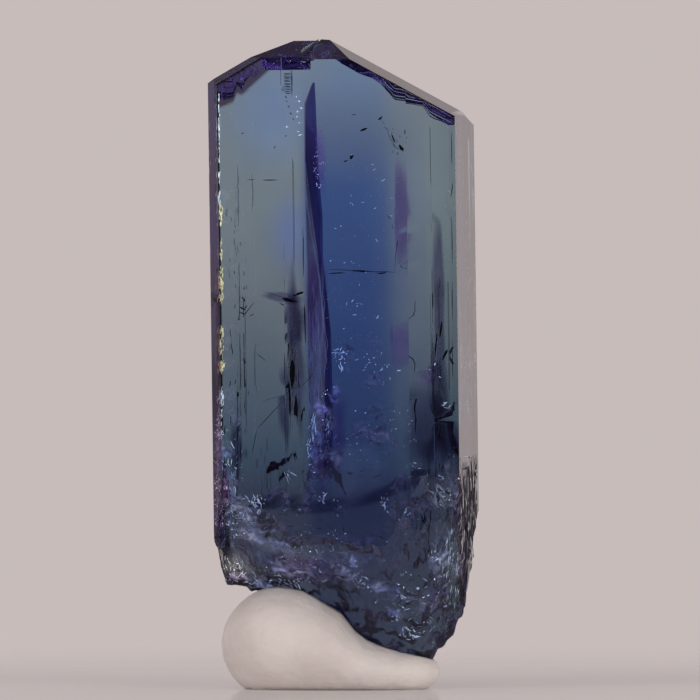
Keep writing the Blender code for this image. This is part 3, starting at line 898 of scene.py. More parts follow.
def tanzanite_look():
    look = Look("tanzanite")
    look.set({"Roughness": 0.0, "IOR": 1.69, "Transmission Weight": 1.0})
    place = look.place()
    colour = TINT_BODY
    for centre, radii, softness, tint in TINT_PATCHES:
        colour = look.mix(look.zone(place, centre, radii, softness), colour, tint)
    along = look.parts(place)
    core = look.math("MULTIPLY", look.ramp(along["X"], *CORE_LEFT), look.ramp(along["X"], *CORE_RIGHT))
    core = look.math("MULTIPLY", core, look.ramp(along["Z"], *CORE_TOP))
    core = look.math("MULTIPLY", core, look.ramp(along["Z"], *CORE_FOOT))
    colour = look.mix(core, colour, TINT_CORE)
    # Painted shade: darker towards the bottom
    colour = look.mix(1.0, colour, look.gradient(along["Z"], DARKENING), "MULTIPLY")
    cloud = look.grain(place, 0.35, 3.0)
    cloud = look.mix(look.ramp(cloud, 0.3, 0.7), (0.88, 0.89, 0.92), (1.0, 1.0, 1.0))
    colour = look.mix(1.0, colour, cloud, "MULTIPLY")
    # Painted shade down the left bevel
    colour = look.mix(look.zone(place, *LEFT_EDGE_SHADE_ZONE), colour, LEFT_EDGE_SHADE_TINT)
    # Painted shade: darker near the faces that show darker than the body
    for point, normal, depth, tint in FACE_SHADE_TINTS:
        outward = Vector(normal).normalized()
        reach = look.add("ShaderNodeVectorMath", operation="DOT_PRODUCT")
        reach.inputs[1].default_value = outward
        look.join(place, reach.inputs[0])
        rim = outward.dot(Vector(point))
        near = look.ramp(reach.outputs["Value"], rim - depth, rim - depth * 0.3)
        colour = look.mix(near, colour, tint)
    colour = look.mix(look.zone(place, *PALE_CORNER), colour, TINT_PALE_CORNER)
    look.join(colour, look.shader.inputs["Base Color"])
    absorb = look.add("ShaderNodeVolumeAbsorption")
    absorb.inputs["Color"].default_value = ABSORPTION_COLOUR
    absorb.inputs["Density"].default_value = ABSORPTION_DENSITY
    look.join(absorb.outputs[0], look.output.inputs["Volume"])
    return look.material


def putty_look():
    look = Look("putty")
    place = look.place()
    mottle = look.grain(place, 0.5, 3.0)
    colour = look.mix(look.ramp(mottle, 0.35, 0.7), (0.76, 0.71, 0.68), (0.83, 0.79, 0.76))
    specks = look.grain(place, 9.0, 2.0)
    colour = look.mix(look.ramp(specks, 0.70, 0.78, (0.0, 0.5)), colour, (0.55, 0.46, 0.42))
    look.join(colour, look.shader.inputs["Base Color"])
    look.set({"Roughness": 0.55, "Subsurface Weight": 0.25, "Subsurface Scale": 1.0})
    look.set({"Subsurface Radius": (0.0008, 0.0006, 0.0005)})
    look.bump(look.grain(place, 2.2, 7.0), 0.5, 0.0002)
    return look.material


def plain_look(name, colour, roughness, painted_glow=0.0):
    look = Look(name)
    place = look.place()
    shade = look.ramp(look.grain(place, 2.0, 3.0), 0.3, 0.7)
    darker = tuple(0.6 * c for c in colour)
    look.join(look.mix(shade, darker, colour), look.shader.inputs["Base Color"])
    look.set({"Roughness": roughness})
    # A glow is painted light: the surface shines though it is no lamp
    if painted_glow:
        look.set({"Emission Color": (*colour, 1.0), "Emission Strength": painted_glow})
    return look.material


# Flaws inside the crystal, and painted glints and shade, by the pixel of the photograph that each is seen at
LADDER_RAILS = (
    (287, 71, 289.6, 92), (295.6, 71, 294.8, 92),
)
LADDER_RUNGS = 13
LADDER_DEPTH = 0.9
SPECK_CHAIN = (
    (290.4, 95.2), (291.3, 99.6), (293, 104.8), (294.8, 111.7), (297.4, 117.8),
)
# Painted glints: small glowing flakes, by pixel
GLINTS = (
    (300, 95.2), (302.6, 99.6), (304.3, 106.5), (300.9, 110), (300.5, 115.2), (302.6, 121.3), (301.7, 130),
    (302.6, 133.8), (291.3, 125.3), (385, 366), (404, 370), (390, 378), (435, 364), (440, 377), (354, 410),
    (363, 412), (304, 133), (405, 591), (341, 352), (344, 358), (347, 350), (338, 348),
)
# Dark flaws, and dark marks that paint shade along edges and rims, as (column, row, length and width in
# pixels, turn in degrees anticlockwise)
DARK_AND_SHADE_MARKS = (
    (376.8, 117.3, 8, 2.5, 35), (360.7, 129, 9, 3.2, 20), (273.9, 145.1, 5, 1.4, 55),
    (290.4, 134.3, 3.4, 1.4, 30), (237.4, 130.9, 2, 1.4, 0), (350, 156, 6, 4, 70),
    (351.8, 113.8, 6, 0.9, 0), (268.7, 178.2, 20, 1.3, 0), (246, 177.5, 12, 0.6, 2),
    (290, 298, 26, 4.5, 172), (303, 292, 14, 3, 20), (281, 303, 10, 1.6, 150), (398, 138, 13, 3, 128),
    (404, 148, 9, 2.2, 105), (390, 217, 9, 1.2, 150), (396, 226, 8, 1, 120), (345, 160, 5, 1.5, 10),
    (240, 306, 12, 1.2, 60), (236, 318, 10, 1.4, 80), (246, 313, 8, 1, 30), (232, 330, 14, 1.6, 88),
    (239.5, 447, 30, 2.6, 92), (429, 412, 26, 1.6, 90), (425.5, 405, 14, 1, 90), (432, 398, 20, 1.4, 88),
    (436, 345, 30, 2, 84), (441, 330, 24, 2.6, 82), (433, 300, 26, 1.2, 90), (445, 355, 16, 3.2, 60),
    (440, 284, 20, 1, 90), (452.2, 240, 60, 0.9, 90), (452.4, 300, 46, 0.9, 90), (452.6, 360, 50, 0.9, 90),
    (451.8, 150, 44, 0.9, 90), (452.8, 190, 20, 1, 90), (297, 372, 40, 6, 90), (294, 395, 46, 4, 92),
    (300, 405, 30, 4, 88), (292, 350, 24, 2.4, 80), (336, 272, 22, 1.6, 2), (358, 270.5, 20, 1.4, 176),
    (378, 272.5, 16, 1.8, 4), (308, 320, 46, 1.6, 91), (306.5, 250, 60, 1.2, 90),
)
# Fine cracks, as the pixels of their two ends
CRACKS = (
    (237.4, 181.3, 232.5, 187.4), (232.5, 187.4, 232.2, 199.6), (252, 351, 264, 359), (258, 400, 306, 384),
    (280, 402, 253, 427), (262, 290, 300, 300), (376, 119, 384, 124), (385, 127, 404, 150),
    (381, 126, 392, 130), (230, 322, 250, 300), (253, 427, 247, 452), (306, 384, 316, 372),
    (330, 268, 400, 272), (399, 272, 403, 240), (412, 300, 412.5, 372), (412.5, 380, 413, 432),
    (285, 240, 285.2, 300), (284.6, 330, 285, 420), (232, 350, 232.4, 420), (232, 430, 232.6, 500),
    (238.4, 380, 238.8, 470),
)
# The bottom of the groove, as pixels along it
KEEL_LINE = (
    (306.5, 150), (307.8, 180), (310.5, 210), (314, 235), (319, 262), (322, 292), (326, 330),
)
KEEL_LINE_SHIFTS = (0.0, 0.7)
KEEL_LINE_OVERLAP = 4
KEEL_LINE_SWAY = 0.02
# Patches of short strokes, as (column, row, half width, half height, depth, strokes, shortest, longest,
# the way that they lie in degrees anticlockwise, and how far they stray from it)
# Faint pale flaws, brightened by painted glow
FAINT_PATCHES = (
    (321, 157, 6, 32, 0.93, 80, 1.5, 4.5, 60, 30), (365, 190, 34, 55, 0.6, 60, 1, 3.5, 45, 60),
    (352, 290, 28, 60, 0.6, 70, 1, 4, 60, 60), (390, 190, 14, 30, 0.7, 26, 1, 4, 60, 40),
    (320, 330, 8, 60, 0.93, 34, 12, 50, 92, 3), (325, 428, 11, 30, 0.7, 46, 3, 10, 70, 18),
    (370, 345, 16, 14, 0.7, 30, 1, 3.5, 30, 60), (314, 380, 4, 70, 0.93, 30, 10, 40, 90, 3),
    (230, 430, 10, 60, 0.5, 30, 2, 6, 80, 20), (455, 250, 3, 60, 0.5, 16, 1.5, 4, 85, 15),
)
# Painted glints: glowing strokes, in the same terms
BRIGHT_PATCHES = (
    (321, 165, 5, 24, 0.93, 14, 1.5, 4, 60, 30), (362, 200, 34, 50, 0.6, 16, 1.5, 4.5, 45, 60),
    (352, 290, 28, 55, 0.6, 18, 1.5, 4.5, 60, 60), (340, 353, 7, 6, 0.8, 26, 1.5, 4, 30, 50),
    (341, 364, 2, 7, 0.8, 6, 4, 8, 110, 14), (316, 425, 2.5, 12, 0.7, 10, 4, 12, 84, 10),
    (329, 422, 3, 10, 0.7, 10, 4, 12, 66, 10), (312, 446, 4, 10, 0.7, 12, 2, 7, 75, 20),
    (324, 498, 4, 7, 0.6, 14, 1.5, 5, 120, 40), (256, 498, 8, 7, 0.4, 14, 3, 9, 130, 30),
    (382, 502, 5, 6, 0.6, 16, 1.5, 5, 110, 40), (439, 490, 12, 14, 0.4, 24, 4, 14, 132, 12),
    (430, 546, 6, 9, 0.4, 22, 1.5, 5, 100, 30), (402, 590, 5, 3, 0.4, 22, 1.5, 4, 20, 40),
    (396, 612, 4, 9, 0.4, 22, 1.5, 6, 120, 20), (408, 628, 8, 5, 0.4, 22, 1.5, 6, 140, 30),
    (420, 619, 4, 4, 0.4, 14, 1.5, 4, 140, 30), (340, 556, 4, 6, 0.5, 14, 1.5, 5, 100, 30),
    (310, 552, 6, 7, 0.5, 12, 1.5, 4, 90, 50), (255, 573, 4, 9, 0.3, 14, 3, 9, 125, 12),
    (278, 566, 3, 4, 0.3, 7, 1.5, 4, 110, 30), (293, 575, 10, 3, 0.3, 14, 2, 6, 150, 20),
    (234, 530, 8, 12, 0.3, 16, 1.5, 4, 100, 40), (447, 405, 5, 3, 0.5, 7, 3, 8, 20, 20),
    (366, 570, 4, 7, 0.5, 10, 1.5, 5, 120, 30), (250, 502, 14, 6, 0.3, 30, 3, 12, 135, 25),
    (270, 580, 34, 6, 0.2, 24, 3, 10, 160, 20), (300, 560, 30, 24, 0.3, 40, 1.5, 6, 120, 60),
    (230, 565, 12, 16, 0.1, 30, 2, 8, 100, 30), (410, 600, 30, 34, 0.3, 46, 1.5, 6, 110, 60),
    (228, 470, 9, 34, 0.2, 26, 2, 9, 95, 20), (450, 570, 10, 40, 0.03, 50, 3, 10, 76, 10),
    (372, 360, 18, 12, 0.8, 18, 1.5, 4, 30, 60), (290, 473, 8, 5, 0.8, 12, 3, 10, 140, 20),
)
# Pale fibres of the splintered corner, brightened by painted glow
FIBRE_PATCHES = (
    (452, 545, 13, 62, 0.04, 260, 4, 18, 76, 9), (463, 500, 6, 42, 0.04, 60, 6, 24, 84, 6),
    (447, 600, 14, 34, 0.12, 130, 3, 10, 66, 16), (463, 590, 4, 14, 0.1, 40, 6, 16, 88, 5),
    (441, 628, 10, 14, 0.15, 60, 2, 7, 70, 24), (470, 470, 3, 16, 0.2, 20, 6, 14, 90, 5),
    (466, 520, 2, 44, 0.27, 60, 4, 16, 86, 8), (470, 500, 2, 38, 0.6, 50, 4, 16, 87, 6),
    (466, 586, 2.5, 11, 0.3, 60, 4, 12, 88, 4),
)
# Dark strokes, most of them painted shade, some dark fibres, in the same terms
DARK_AND_SHADE_PATCHES = (
    (230, 215, 7, 16, 0.9, 16, 4, 9, 92, 6), (234, 270, 9, 40, 0.9, 30, 3, 12, 90, 6),
    (231, 400, 12, 80, 0.9, 46, 5, 22, 90, 4), (297, 385, 7, 40, 0.9, 40, 6, 26, 90, 4),
    (434, 400, 9, 60, 0.9, 50, 5, 22, 90, 4), (400, 140, 7, 14, 0.9, 20, 2, 6, 110, 20),
    (456, 540, 13, 60, 0.1, 160, 5, 20, 78, 8), (469, 515, 4, 44, 0.1, 90, 10, 30, 88, 4),
    (406, 510, 16, 30, 0.9, 22, 12, 40, 90, 3), (375, 470, 30, 8, 0.7, 10, 4, 12, 10, 20),
    (262, 470, 30, 30, 0.85, 20, 6, 20, 90, 4), (300, 540, 60, 40, 0.6, 60, 3, 12, 150, 40),
    (400, 580, 44, 50, 0.4, 70, 3, 12, 130, 40), (446, 600, 14, 40, 0.1, 60, 3, 12, 76, 16),
)
# Painted highlights down the left edge: cream glowing strokes, then white ones, in the same terms
EDGE_PATCHES = (
    (221.6, 214, 1.8, 14, 0, 26, 2, 8, 88, 8), (221.8, 248, 1.2, 14, 0, 18, 2, 8, 90, 8),
    (221.8, 282, 2.2, 19, 0, 44, 2, 9, 88, 10), (222.2, 338, 2.2, 17, 0, 40, 2, 9, 88, 10),
    (222.6, 365, 2.6, 8, 0, 34, 2, 7, 80, 20),
)
WHITE_EDGE_PATCHES = (
    (219.6, 120, 0.6, 30, 0, 22, 3, 10, 90, 3), (219.8, 180, 0.7, 40, 0, 26, 3, 9, 90, 4),
    (222, 396, 2.2, 13, 0, 40, 2, 7, 82, 14), (221, 416, 1.8, 10, 0, 30, 2, 6, 85, 14),
    (221, 432, 3, 5, 0, 30, 1.5, 5, 60, 30), (212.6, 200, 0.6, 120, 0.1, 26, 6, 20, 90, 2),
)
FLAW_SEED = 7
STROKE_RADIUS = 0.01
STROKE_SPREAD = 0.06
DEEPEST_STROKE = 0.97
CRACK_RADIUS = 0.013
CRACK_SWAY = 0.05
CRACK_DEPTH = 0.93
MARK_DEPTH = 0.92
GLINT_DEPTH = 0.88
GLINT_LENGTHS = (0.08, 0.16)
GLINT_WIDTHS = (0.03, 0.07)
GLINT_TILT = 0.3
# Clear coloured zones, as (column, row, length, width, turn, share of the depth)
VIOLET_PATCHES = (
    (404, 215, 122, 13, 90, 0.94), (320, 160, 90, 18, 92, 0.94), (455, 500, 90, 24, 84, 0.3),
    (426, 374, 34, 26, 20, 0.9), (318, 300, 120, 26, 88, 0.93), (400, 345, 60, 26, 90, 0.9),
    (245, 530, 60, 40, 160, 0.5), (330, 440, 120, 36, 84, 0.8), (300, 560, 90, 50, 175, 0.3),
)
# Painted shade: dark films where the crystal shows shadow, in the same terms
SHADOWS = (
    (300, 355, 190, 19, 91, 0.93), (298, 318, 70, 24, 91, 0.93), (286, 402, 110, 22, 92, 0.93),
    (439, 300, 200, 16, 91, 0.93), (438, 400, 150, 26, 95, 0.93), (446, 432, 90, 34, 105, 0.9),
    (424, 430, 120, 40, 90, 0.9), (284, 296, 56, 13, 172, 0.93), (232, 450, 100, 12, 90, 0.9),
    (440, 450, 60, 40, 20, 0.8), (275, 500, 70, 22, 4, 0.8), (320, 505, 70, 20, 6, 0.8),
    (400, 485, 120, 22, 20, 0.85), (342, 582, 36, 26, 120, 0.5), (468, 528, 60, 10, 88, 0.2),
    (238, 447, 40, 9, 92, 0.85),
)
# Healed cracks: pale cellular veils with painted glow and painted glints, as (column, row, length, width,
# turn, share of the depth)
VEILS = (
    (345, 352, 26, 20, 40, 0.85), (327, 430, 64, 16, 75, 0.7), (370, 378, 34, 20, 10, 0.8),
    (425, 376, 24, 18, 30, 0.85), (380, 430, 90, 60, 20, 0.8), (225, 480, 90, 20, 95, 0.35),
    (250, 520, 70, 40, 150, 0.4), (300, 500, 120, 26, 165, 0.6), (305, 545, 90, 50, 170, 0.5),
    (360, 550, 110, 50, 10, 0.6), (400, 500, 90, 50, 50, 0.75), (440, 500, 90, 30, 70, 0.4),
    (455, 545, 80, 26, 80, 0.25), (400, 590, 90, 40, 150, 0.4), (350, 555, 80, 36, 140, 0.4),
    (232, 500, 80, 36, 70, 0.3), (290, 560, 90, 40, 170, 0.25), (230, 548, 50, 44, 90, 0.2),
    (320, 450, 80, 30, 84, 0.8), (268, 550, 30, 20, 0, 0.3), (240, 565, 40, 30, 130, 0.3),
    (430, 620, 60, 24, 60, 0.4), (325, 470, 90, 30, 60, 0.65), (380, 615, 70, 20, 140, 0.35),
)
# Frosted patches close under the surface, and the violet-white seam, with painted glow and painted glints, in
# the same terms
FROST = (
    (226, 478, 120, 28, 96, 0.04), (238, 508, 80, 40, 145, 0.05), (262, 530, 90, 30, 160, 0.1),
    (228, 562, 50, 40, 100, 0.03), (285, 562, 90, 34, 165, 0.08), (252, 576, 60, 20, 150, 0.03),
    (350, 562, 50, 26, 100, 0.2), (440, 552, 70, 26, 76, 0.03), (455, 496, 60, 16, 80, 0.03),
    (385, 600, 70, 24, 130, 0.1), (319, 430, 110, 15, 84, 0.85), (331, 400, 46, 16, 70, 0.85),
    (404, 590, 40, 18, 170, 0.2),
)
# Pale chips and frosting of the base, partly lit by painted glow, in the same terms
PALE_CHIPS = (
    (228, 500, 130, 28, 94, 0.05), (214, 486, 130, 13, 90, 0.03), (236, 555, 80, 40, 130, 0.03),
    (221, 562, 38, 24, 150, 0.02), (223, 564, 32, 18, 150, 0.04), (466, 584, 30, 8, 87, 0.3),
    (452, 560, 90, 22, 76, 0.05), (319, 430, 120, 12, 84, 0.88), (285, 545, 120, 26, 165, 0.1),
    (321, 330, 190, 11, 86, 0.9), (350, 470, 80, 60, 20, 0.7),
)
# Splinters on the right side face: where they are in Z and Y, their least length, their radii and step,
# how far they drift along Y for each mm up, and how far in from the face they may lie
SIDE_SPLINTER_Z = (5.2, 9.9)
SIDE_SPLINTER_Y = (FRONT_Y + 0.15, BACK_Y - 0.9)
SIDE_SPLINTER_LEAST = 0.2
SIDE_SPLINTER_RADII = (0.007, 0.024)
SIDE_SPLINTER_STEP = 0.1
SIDE_SPLINTER_DRIFT = 0.12
SIDE_SPLINTER_REACH = 0.32
# Sheets: points round each, rings, half thickness, how ragged the rim is and how much the middle bulges
SHEET_STEPS = 26
SHEET_RINGS = 6
SHEET_HALF_THICKNESS = 0.012
SHEET_RAGGED = 0.35
SHEET_BULGE = 0.35
SHEET_TILT = 0.3
# How far the flaws stay from the crystal's surface, and the growth zones from the groove's walls
SKIN = 0.06
FILM_GAP = 0.03
FIBRE_STEP = 0.15
LONGEST_SWAY = 1.2
WAVE_GRAIN = 1.6


def span(x, z):
    """Where a line straight back at (x, z) enters and leaves the crystal, less a skin, or None beside it."""
    ends = []
    for start, way in ((FRONT_Y - 1, 1), (BACK_Y + 1, -1)):
        starts = [Vector((x + side, start, z)) for side in (-SKIN, SKIN)]
        hits = [BODY.ray_cast(at, Vector((0, way, 0)))[0] for at in starts]
        if None in hits:
            return None
        ends.append(way * max(way * hit.y for hit in hits) + way * SKIN)
    return ends if ends[1] > ends[0] else None


def spot(column, row, depth):
    """A point in the crystal seen at that pixel, at a share of the way from front to back there, or None."""
    share = depth
    for _ in range(2):
        point = inside(column, row, share)
        ends = span(point.x, point.z)
        if ends is None:
            return None
        point.y = ends[0] + (ends[1] - ends[0]) * depth
        share = (point.y - FRONT_Y) / (BACK_Y - FRONT_Y)
    return point


def hold(point):
    """The point, moved straight forward or back until it is inside the crystal."""
    ends = span(point.x, point.z)
    if ends:
        point.y = min(max(point.y, ends[0]), ends[1])
    return point


def fibre(bm, start, end, depth, radius, rng, sway=0.1):
    """A fine thread in the crystal between two pixels of the photograph, if the crystal is there."""
    ends = [spot(*pixel, depth) for pixel in (start, end)]
    if None in ends:
        return
    length = (ends[1] - ends[0]).length
    points = wavy(*ends, max(4, round(length / FIBRE_STEP)), sway * min(length, LONGEST_SWAY), rng)
    thread(bm, [hold(point) for point in points], radius)


def ladder(rng):
    """A ladder of dark rungs between two rails, with a chain of specks running down from it."""
    bm = bmesh.new()
    for left, top, right, bottom in LADDER_RAILS:
        fibre(bm, (left, top), (right, bottom), LADDER_DEPTH, CRACK_RADIUS * 0.7, rng)
    (left0, top0, left1, top1), (right0, _, right1, _) = LADDER_RAILS
    for i in range(LADDER_RUNGS):
        t = (i + 0.5) / LADDER_RUNGS
        row = top0 + (top1 - top0) * t
        left = (left0 + (left1 - left0) * t, row)
        right = (right0 + (right1 - right0) * t, row + rng.uniform(-0.5, 0.5))
        fibre(bm, left, right, LADDER_DEPTH, CRACK_RADIUS * rng.uniform(0.7, 1.5), rng)
    for column, row in SPECK_CHAIN:
        flake(bm, spot(column, row, LADDER_DEPTH), 0.15, 0.05, math.radians(-50), 0.0, rng)
    return bm


def marks(rng):
    bm = bmesh.new()
    for column, row, length, width, turn in DARK_AND_SHADE_MARKS:
        centre = spot(column, row, MARK_DEPTH)
        flake(bm, centre, length * PIXEL, width * PIXEL, math.radians(turn), 0.0, rng, 11)
    return bm


def keel_line(rng):
    """The pale line along the bottom of the groove, where its two walls meet: faintly glowing threads, a
    painted highlight.
    """
    bm = bmesh.new()
    for start, end in zip(KEEL_LINE, KEEL_LINE[1:]):
        for shift in KEEL_LINE_SHIFTS:
            pixels = ((start[0] + shift, start[1]), (end[0] + shift, end[1] + KEEL_LINE_OVERLAP))
            fibre(bm, *pixels, MARK_DEPTH, STROKE_RADIUS * 0.8, rng, KEEL_LINE_SWAY)
    return bm


def cracks(rng):
    bm = bmesh.new()
    for left, top, right, bottom in CRACKS:
        wide = CRACK_RADIUS * rng.uniform(0.5, 1.2)
        fibre(bm, (left, top), (right, bottom), CRACK_DEPTH, wide, rng, CRACK_SWAY)
    return bm


def stroke_patches(patches, rng):
    """Short curved strokes scattered over patches of the photograph, thick in the middle of each one."""
    bm = bmesh.new()
    for column, row, half_width, half_height, depth, strokes, shortest, longest, lie, stray in patches:
        for _ in range(strokes):
            away = rng.random() ** 0.6
            angle = rng.uniform(0, 2 * math.pi)
            at = (column + half_width * away * math.cos(angle), row + half_height * away * math.sin(angle))
            half = (shortest + (longest - shortest) * rng.random() ** 2) / 2
            turn = math.radians(rng.gauss(lie, stray))
            deep = min(DEEPEST_STROKE, max(0.0, depth + rng.uniform(-STROKE_SPREAD, STROKE_SPREAD)))
            aside, rise = half * math.cos(turn), half * math.sin(turn)
            wide = STROKE_RADIUS * rng.uniform(0.3, 1.3)
            fibre(bm, (at[0] - aside, at[1] + rise), (at[0] + aside, at[1] - rise), deep, wide, rng)
    return bm


def side_splinters(count, longest, rng):
    """Upright splinters that lie half sunk in the right side face, close to its broken foot."""
    bm = bmesh.new()
    low, high = SIDE_SPLINTER_Z
    for _ in range(count):
        y = rng.uniform(*SIDE_SPLINTER_Y)
        length = SIDE_SPLINTER_LEAST + longest * rng.random() ** 2
        foot = low + (high - low - length) * rng.random() ** 1.1
        drift = rng.uniform(-SIDE_SPLINTER_DRIFT, SIDE_SPLINTER_DRIFT)
        points = []
        for i in range(round(length / SIDE_SPLINTER_STEP) + 1):
            at = Vector((RIGHT_X + 2, y + drift * i * SIDE_SPLINTER_STEP, foot + i * SIDE_SPLINTER_STEP))
            hit = BODY.ray_cast(at, Vector((-1, 0, 0)))[0]
            if hit and hit.x > RIGHT_X - SIDE_SPLINTER_REACH:
                points.append(hit)
        if len(points) > 2:
            thread(bm, points, rng.uniform(*SIDE_SPLINTER_RADII))
    return bm


def glints(rng):
    bm = bmesh.new()
    for column, row in GLINTS:
        turn = rng.uniform(0, math.pi)
        size = (rng.uniform(*GLINT_LENGTHS), rng.uniform(*GLINT_WIDTHS))
        flake(bm, spot(column, row, GLINT_DEPTH), *size, turn, GLINT_TILT, rng)
    return bm


def groove_film(wall):
    """The growth zone just inside one wall of the groove, a film whose violet is partly painted glow and
    painted shade: 0 is its left wall, 1 its right.
    """
    rings = []
    for z, left, right, depth, share in GROOVE:
        keel = left + (right - left) * share
        edge = (left - FILM_GAP, right + FILM_GAP)[wall]
        near = BACK_Y - FILM_GAP
        deep = near - depth
        outside = [(edge, near, z), (keel, deep, z)]
        rings.append(outside + [(keel, deep - FILM_GAP, z), (edge, near - FILM_GAP, z)])
    return loft(rings)


def sheet(bm, column, row, length, width, turn, depth, rng):
    """A closed thin sheet with a ragged rim that bulges in the depth; its UV is how near the rim it is."""
    middle = spot(column, row, depth)
    if middle is None:
        return
    shift = somewhere(rng)
    turned = Matrix.Rotation(-math.radians(turn), 3, "Y")
    tilt = rng.uniform(-SHEET_TILT, SHEET_TILT)
    reaches = []
    for i in range(SHEET_STEPS):
        angle = 2 * math.pi * i / SHEET_STEPS
        way = Vector((math.cos(angle), 0, math.sin(angle)))
        ragged = 1 + SHEET_RAGGED * noise.noise(way * 1.8 + shift)
        reach = turned @ Vector((way.x * length, 0, way.z * width)) * (PIXEL / 2 * ragged)
        while span(middle.x + reach.x, middle.z + reach.z) is None and reach.length > SKIN:
            reach *= 0.85
        reaches.append(reach)
    share = {}
    rings = {}
    for ring in range(1, SHEET_RINGS + 1):
        for side in (-1, 1):
            verts = []
            for reach in reaches:
                point = middle + reach * (ring / SHEET_RINGS)
                bulge = noise.noise(reach * (ring / SHEET_RINGS) * 0.9 + shift)
                point.y += SHEET_BULGE * bulge + tilt * reach.z * 0.3
                point = hold(point)
                point.y += side * SHEET_HALF_THICKNESS
                verts.append(bm.verts.new(point))
                share[verts[-1]] = ring / SHEET_RINGS
            rings[side, ring] = verts
    faces = []

    def join(low, high):
        for i in range(SHEET_STEPS):
            j = (i + 1) % SHEET_STEPS
            faces.append(bm.faces.new((low[i], low[j], high[j], high[i])))

    for side in (-1, 1):
        for ring in range(1, SHEET_RINGS):
            join(rings[side, ring], rings[side, ring + 1])
        faces.append(bm.faces.new(rings[side, 1]))
    join(rings[-1, SHEET_RINGS], rings[1, SHEET_RINGS])
    layer = bm.loops.layers.uv.verify()
    for face in faces:
        for loop in face.loops:
            loop[layer].uv = (share[loop.vert], 0.5)


def sheets(patches, rng):
    bm = bmesh.new()
    for patch in patches:
        sheet(bm, *patch, rng)
    return bm


def veil_look(name, brightness):
    """A healed crack: cloudy in patches, clear between them, glowing a little as painted light, with specks
    that are painted glints.
    """
    look = Look(name)
    place = look.place()
    warp = look.add("ShaderNodeVectorMath", operation="ADD")
    bend = look.add("ShaderNodeTexNoise")
    bend.inputs["Scale"].default_value = 0.9
    look.join(place, bend.inputs["Vector"])
    look.join(place, warp.inputs[0])
    look.join(bend.outputs["Color"], warp.inputs[1])
    cloud = look.ramp(look.grain(warp.outputs[0], 1.5, 6.0), 0.44, 0.68, (0.0, 0.75))
    soft = look.math("MULTIPLY", cloud, look.ramp(look.grain(place, 5.0, 3.0), 0.35, 0.65, (0.45, 1.0)))
    soft = look.math("MULTIPLY", soft, look.rim_fade())
    painted_glint_speck = look.ramp(look.grain(place, 10.0, 2.0), 0.66, 0.74)
    painted_glint_speck = look.math("MULTIPLY", painted_glint_speck, look.ramp(look.grain(place, 0.9, 2.0), 0.5, 0.6))
    tone = look.mix(look.ramp(look.grain(place, 0.7, 2.0), 0.4, 0.6), (0.20, 0.19, 0.34), (0.36, 0.29, 0.40))
    fine = look.ramp(look.grain(warp.outputs[0], 4.0, 5.0), 0.35, 0.65, (0.3, 1.9))
    shade = look.add("ShaderNodeVectorMath", operation="SCALE")
    look.join(tone, shade.inputs[0])
    look.join(fine, shade.inputs["Scale"])
    # Painted glints in the specks, and painted glow over the rest
    look.join(look.mix(painted_glint_speck, shade.outputs[0], (2.6, 2.6, 2.9)), look.shader.inputs["Emission Color"])
    look.join(tone, look.shader.inputs["Base Color"])
    look.set({"Emission Strength": brightness, "Roughness": 0.4})
    look.see_through(look.math("MAXIMUM", soft, painted_glint_speck))
    return look.material


def film_look(name, tint, painted_glow=(0.0, 0.0, 0.0), soft=True):
    """A clear coloured film: it filters the light that passes, and may give a little painted glow of its own.
    """
    look = Look(name)
    place = look.place()
    shade = look.ramp(look.grain(place, 1.4, 4.0, (1.0, 1.0, 0.25)), 0.3, 0.7)
    filtered = look.mix(shade, tint, tuple(min(1.0, 1.3 * c) for c in tint))
    shine = look.mix(shade, tuple(0.6 * c for c in painted_glow), painted_glow)
    if soft:
        fade = look.rim_fade()
        filtered = look.mix(fade, (1.0, 1.0, 1.0), filtered)
        shine = look.mix(fade, (0.0, 0.0, 0.0), shine)
    clear = look.add("ShaderNodeBsdfTransparent")
    look.join(filtered, clear.inputs["Color"])
    light = look.add("ShaderNodeEmission")
    look.join(shine, light.inputs["Color"])
    both = look.add("ShaderNodeAddShader")
    look.join(clear.outputs[0], both.inputs[0])
    look.join(light.outputs[0], both.inputs[1])
    look.join(both.outputs[0], look.output.inputs["Surface"])
    return look.material


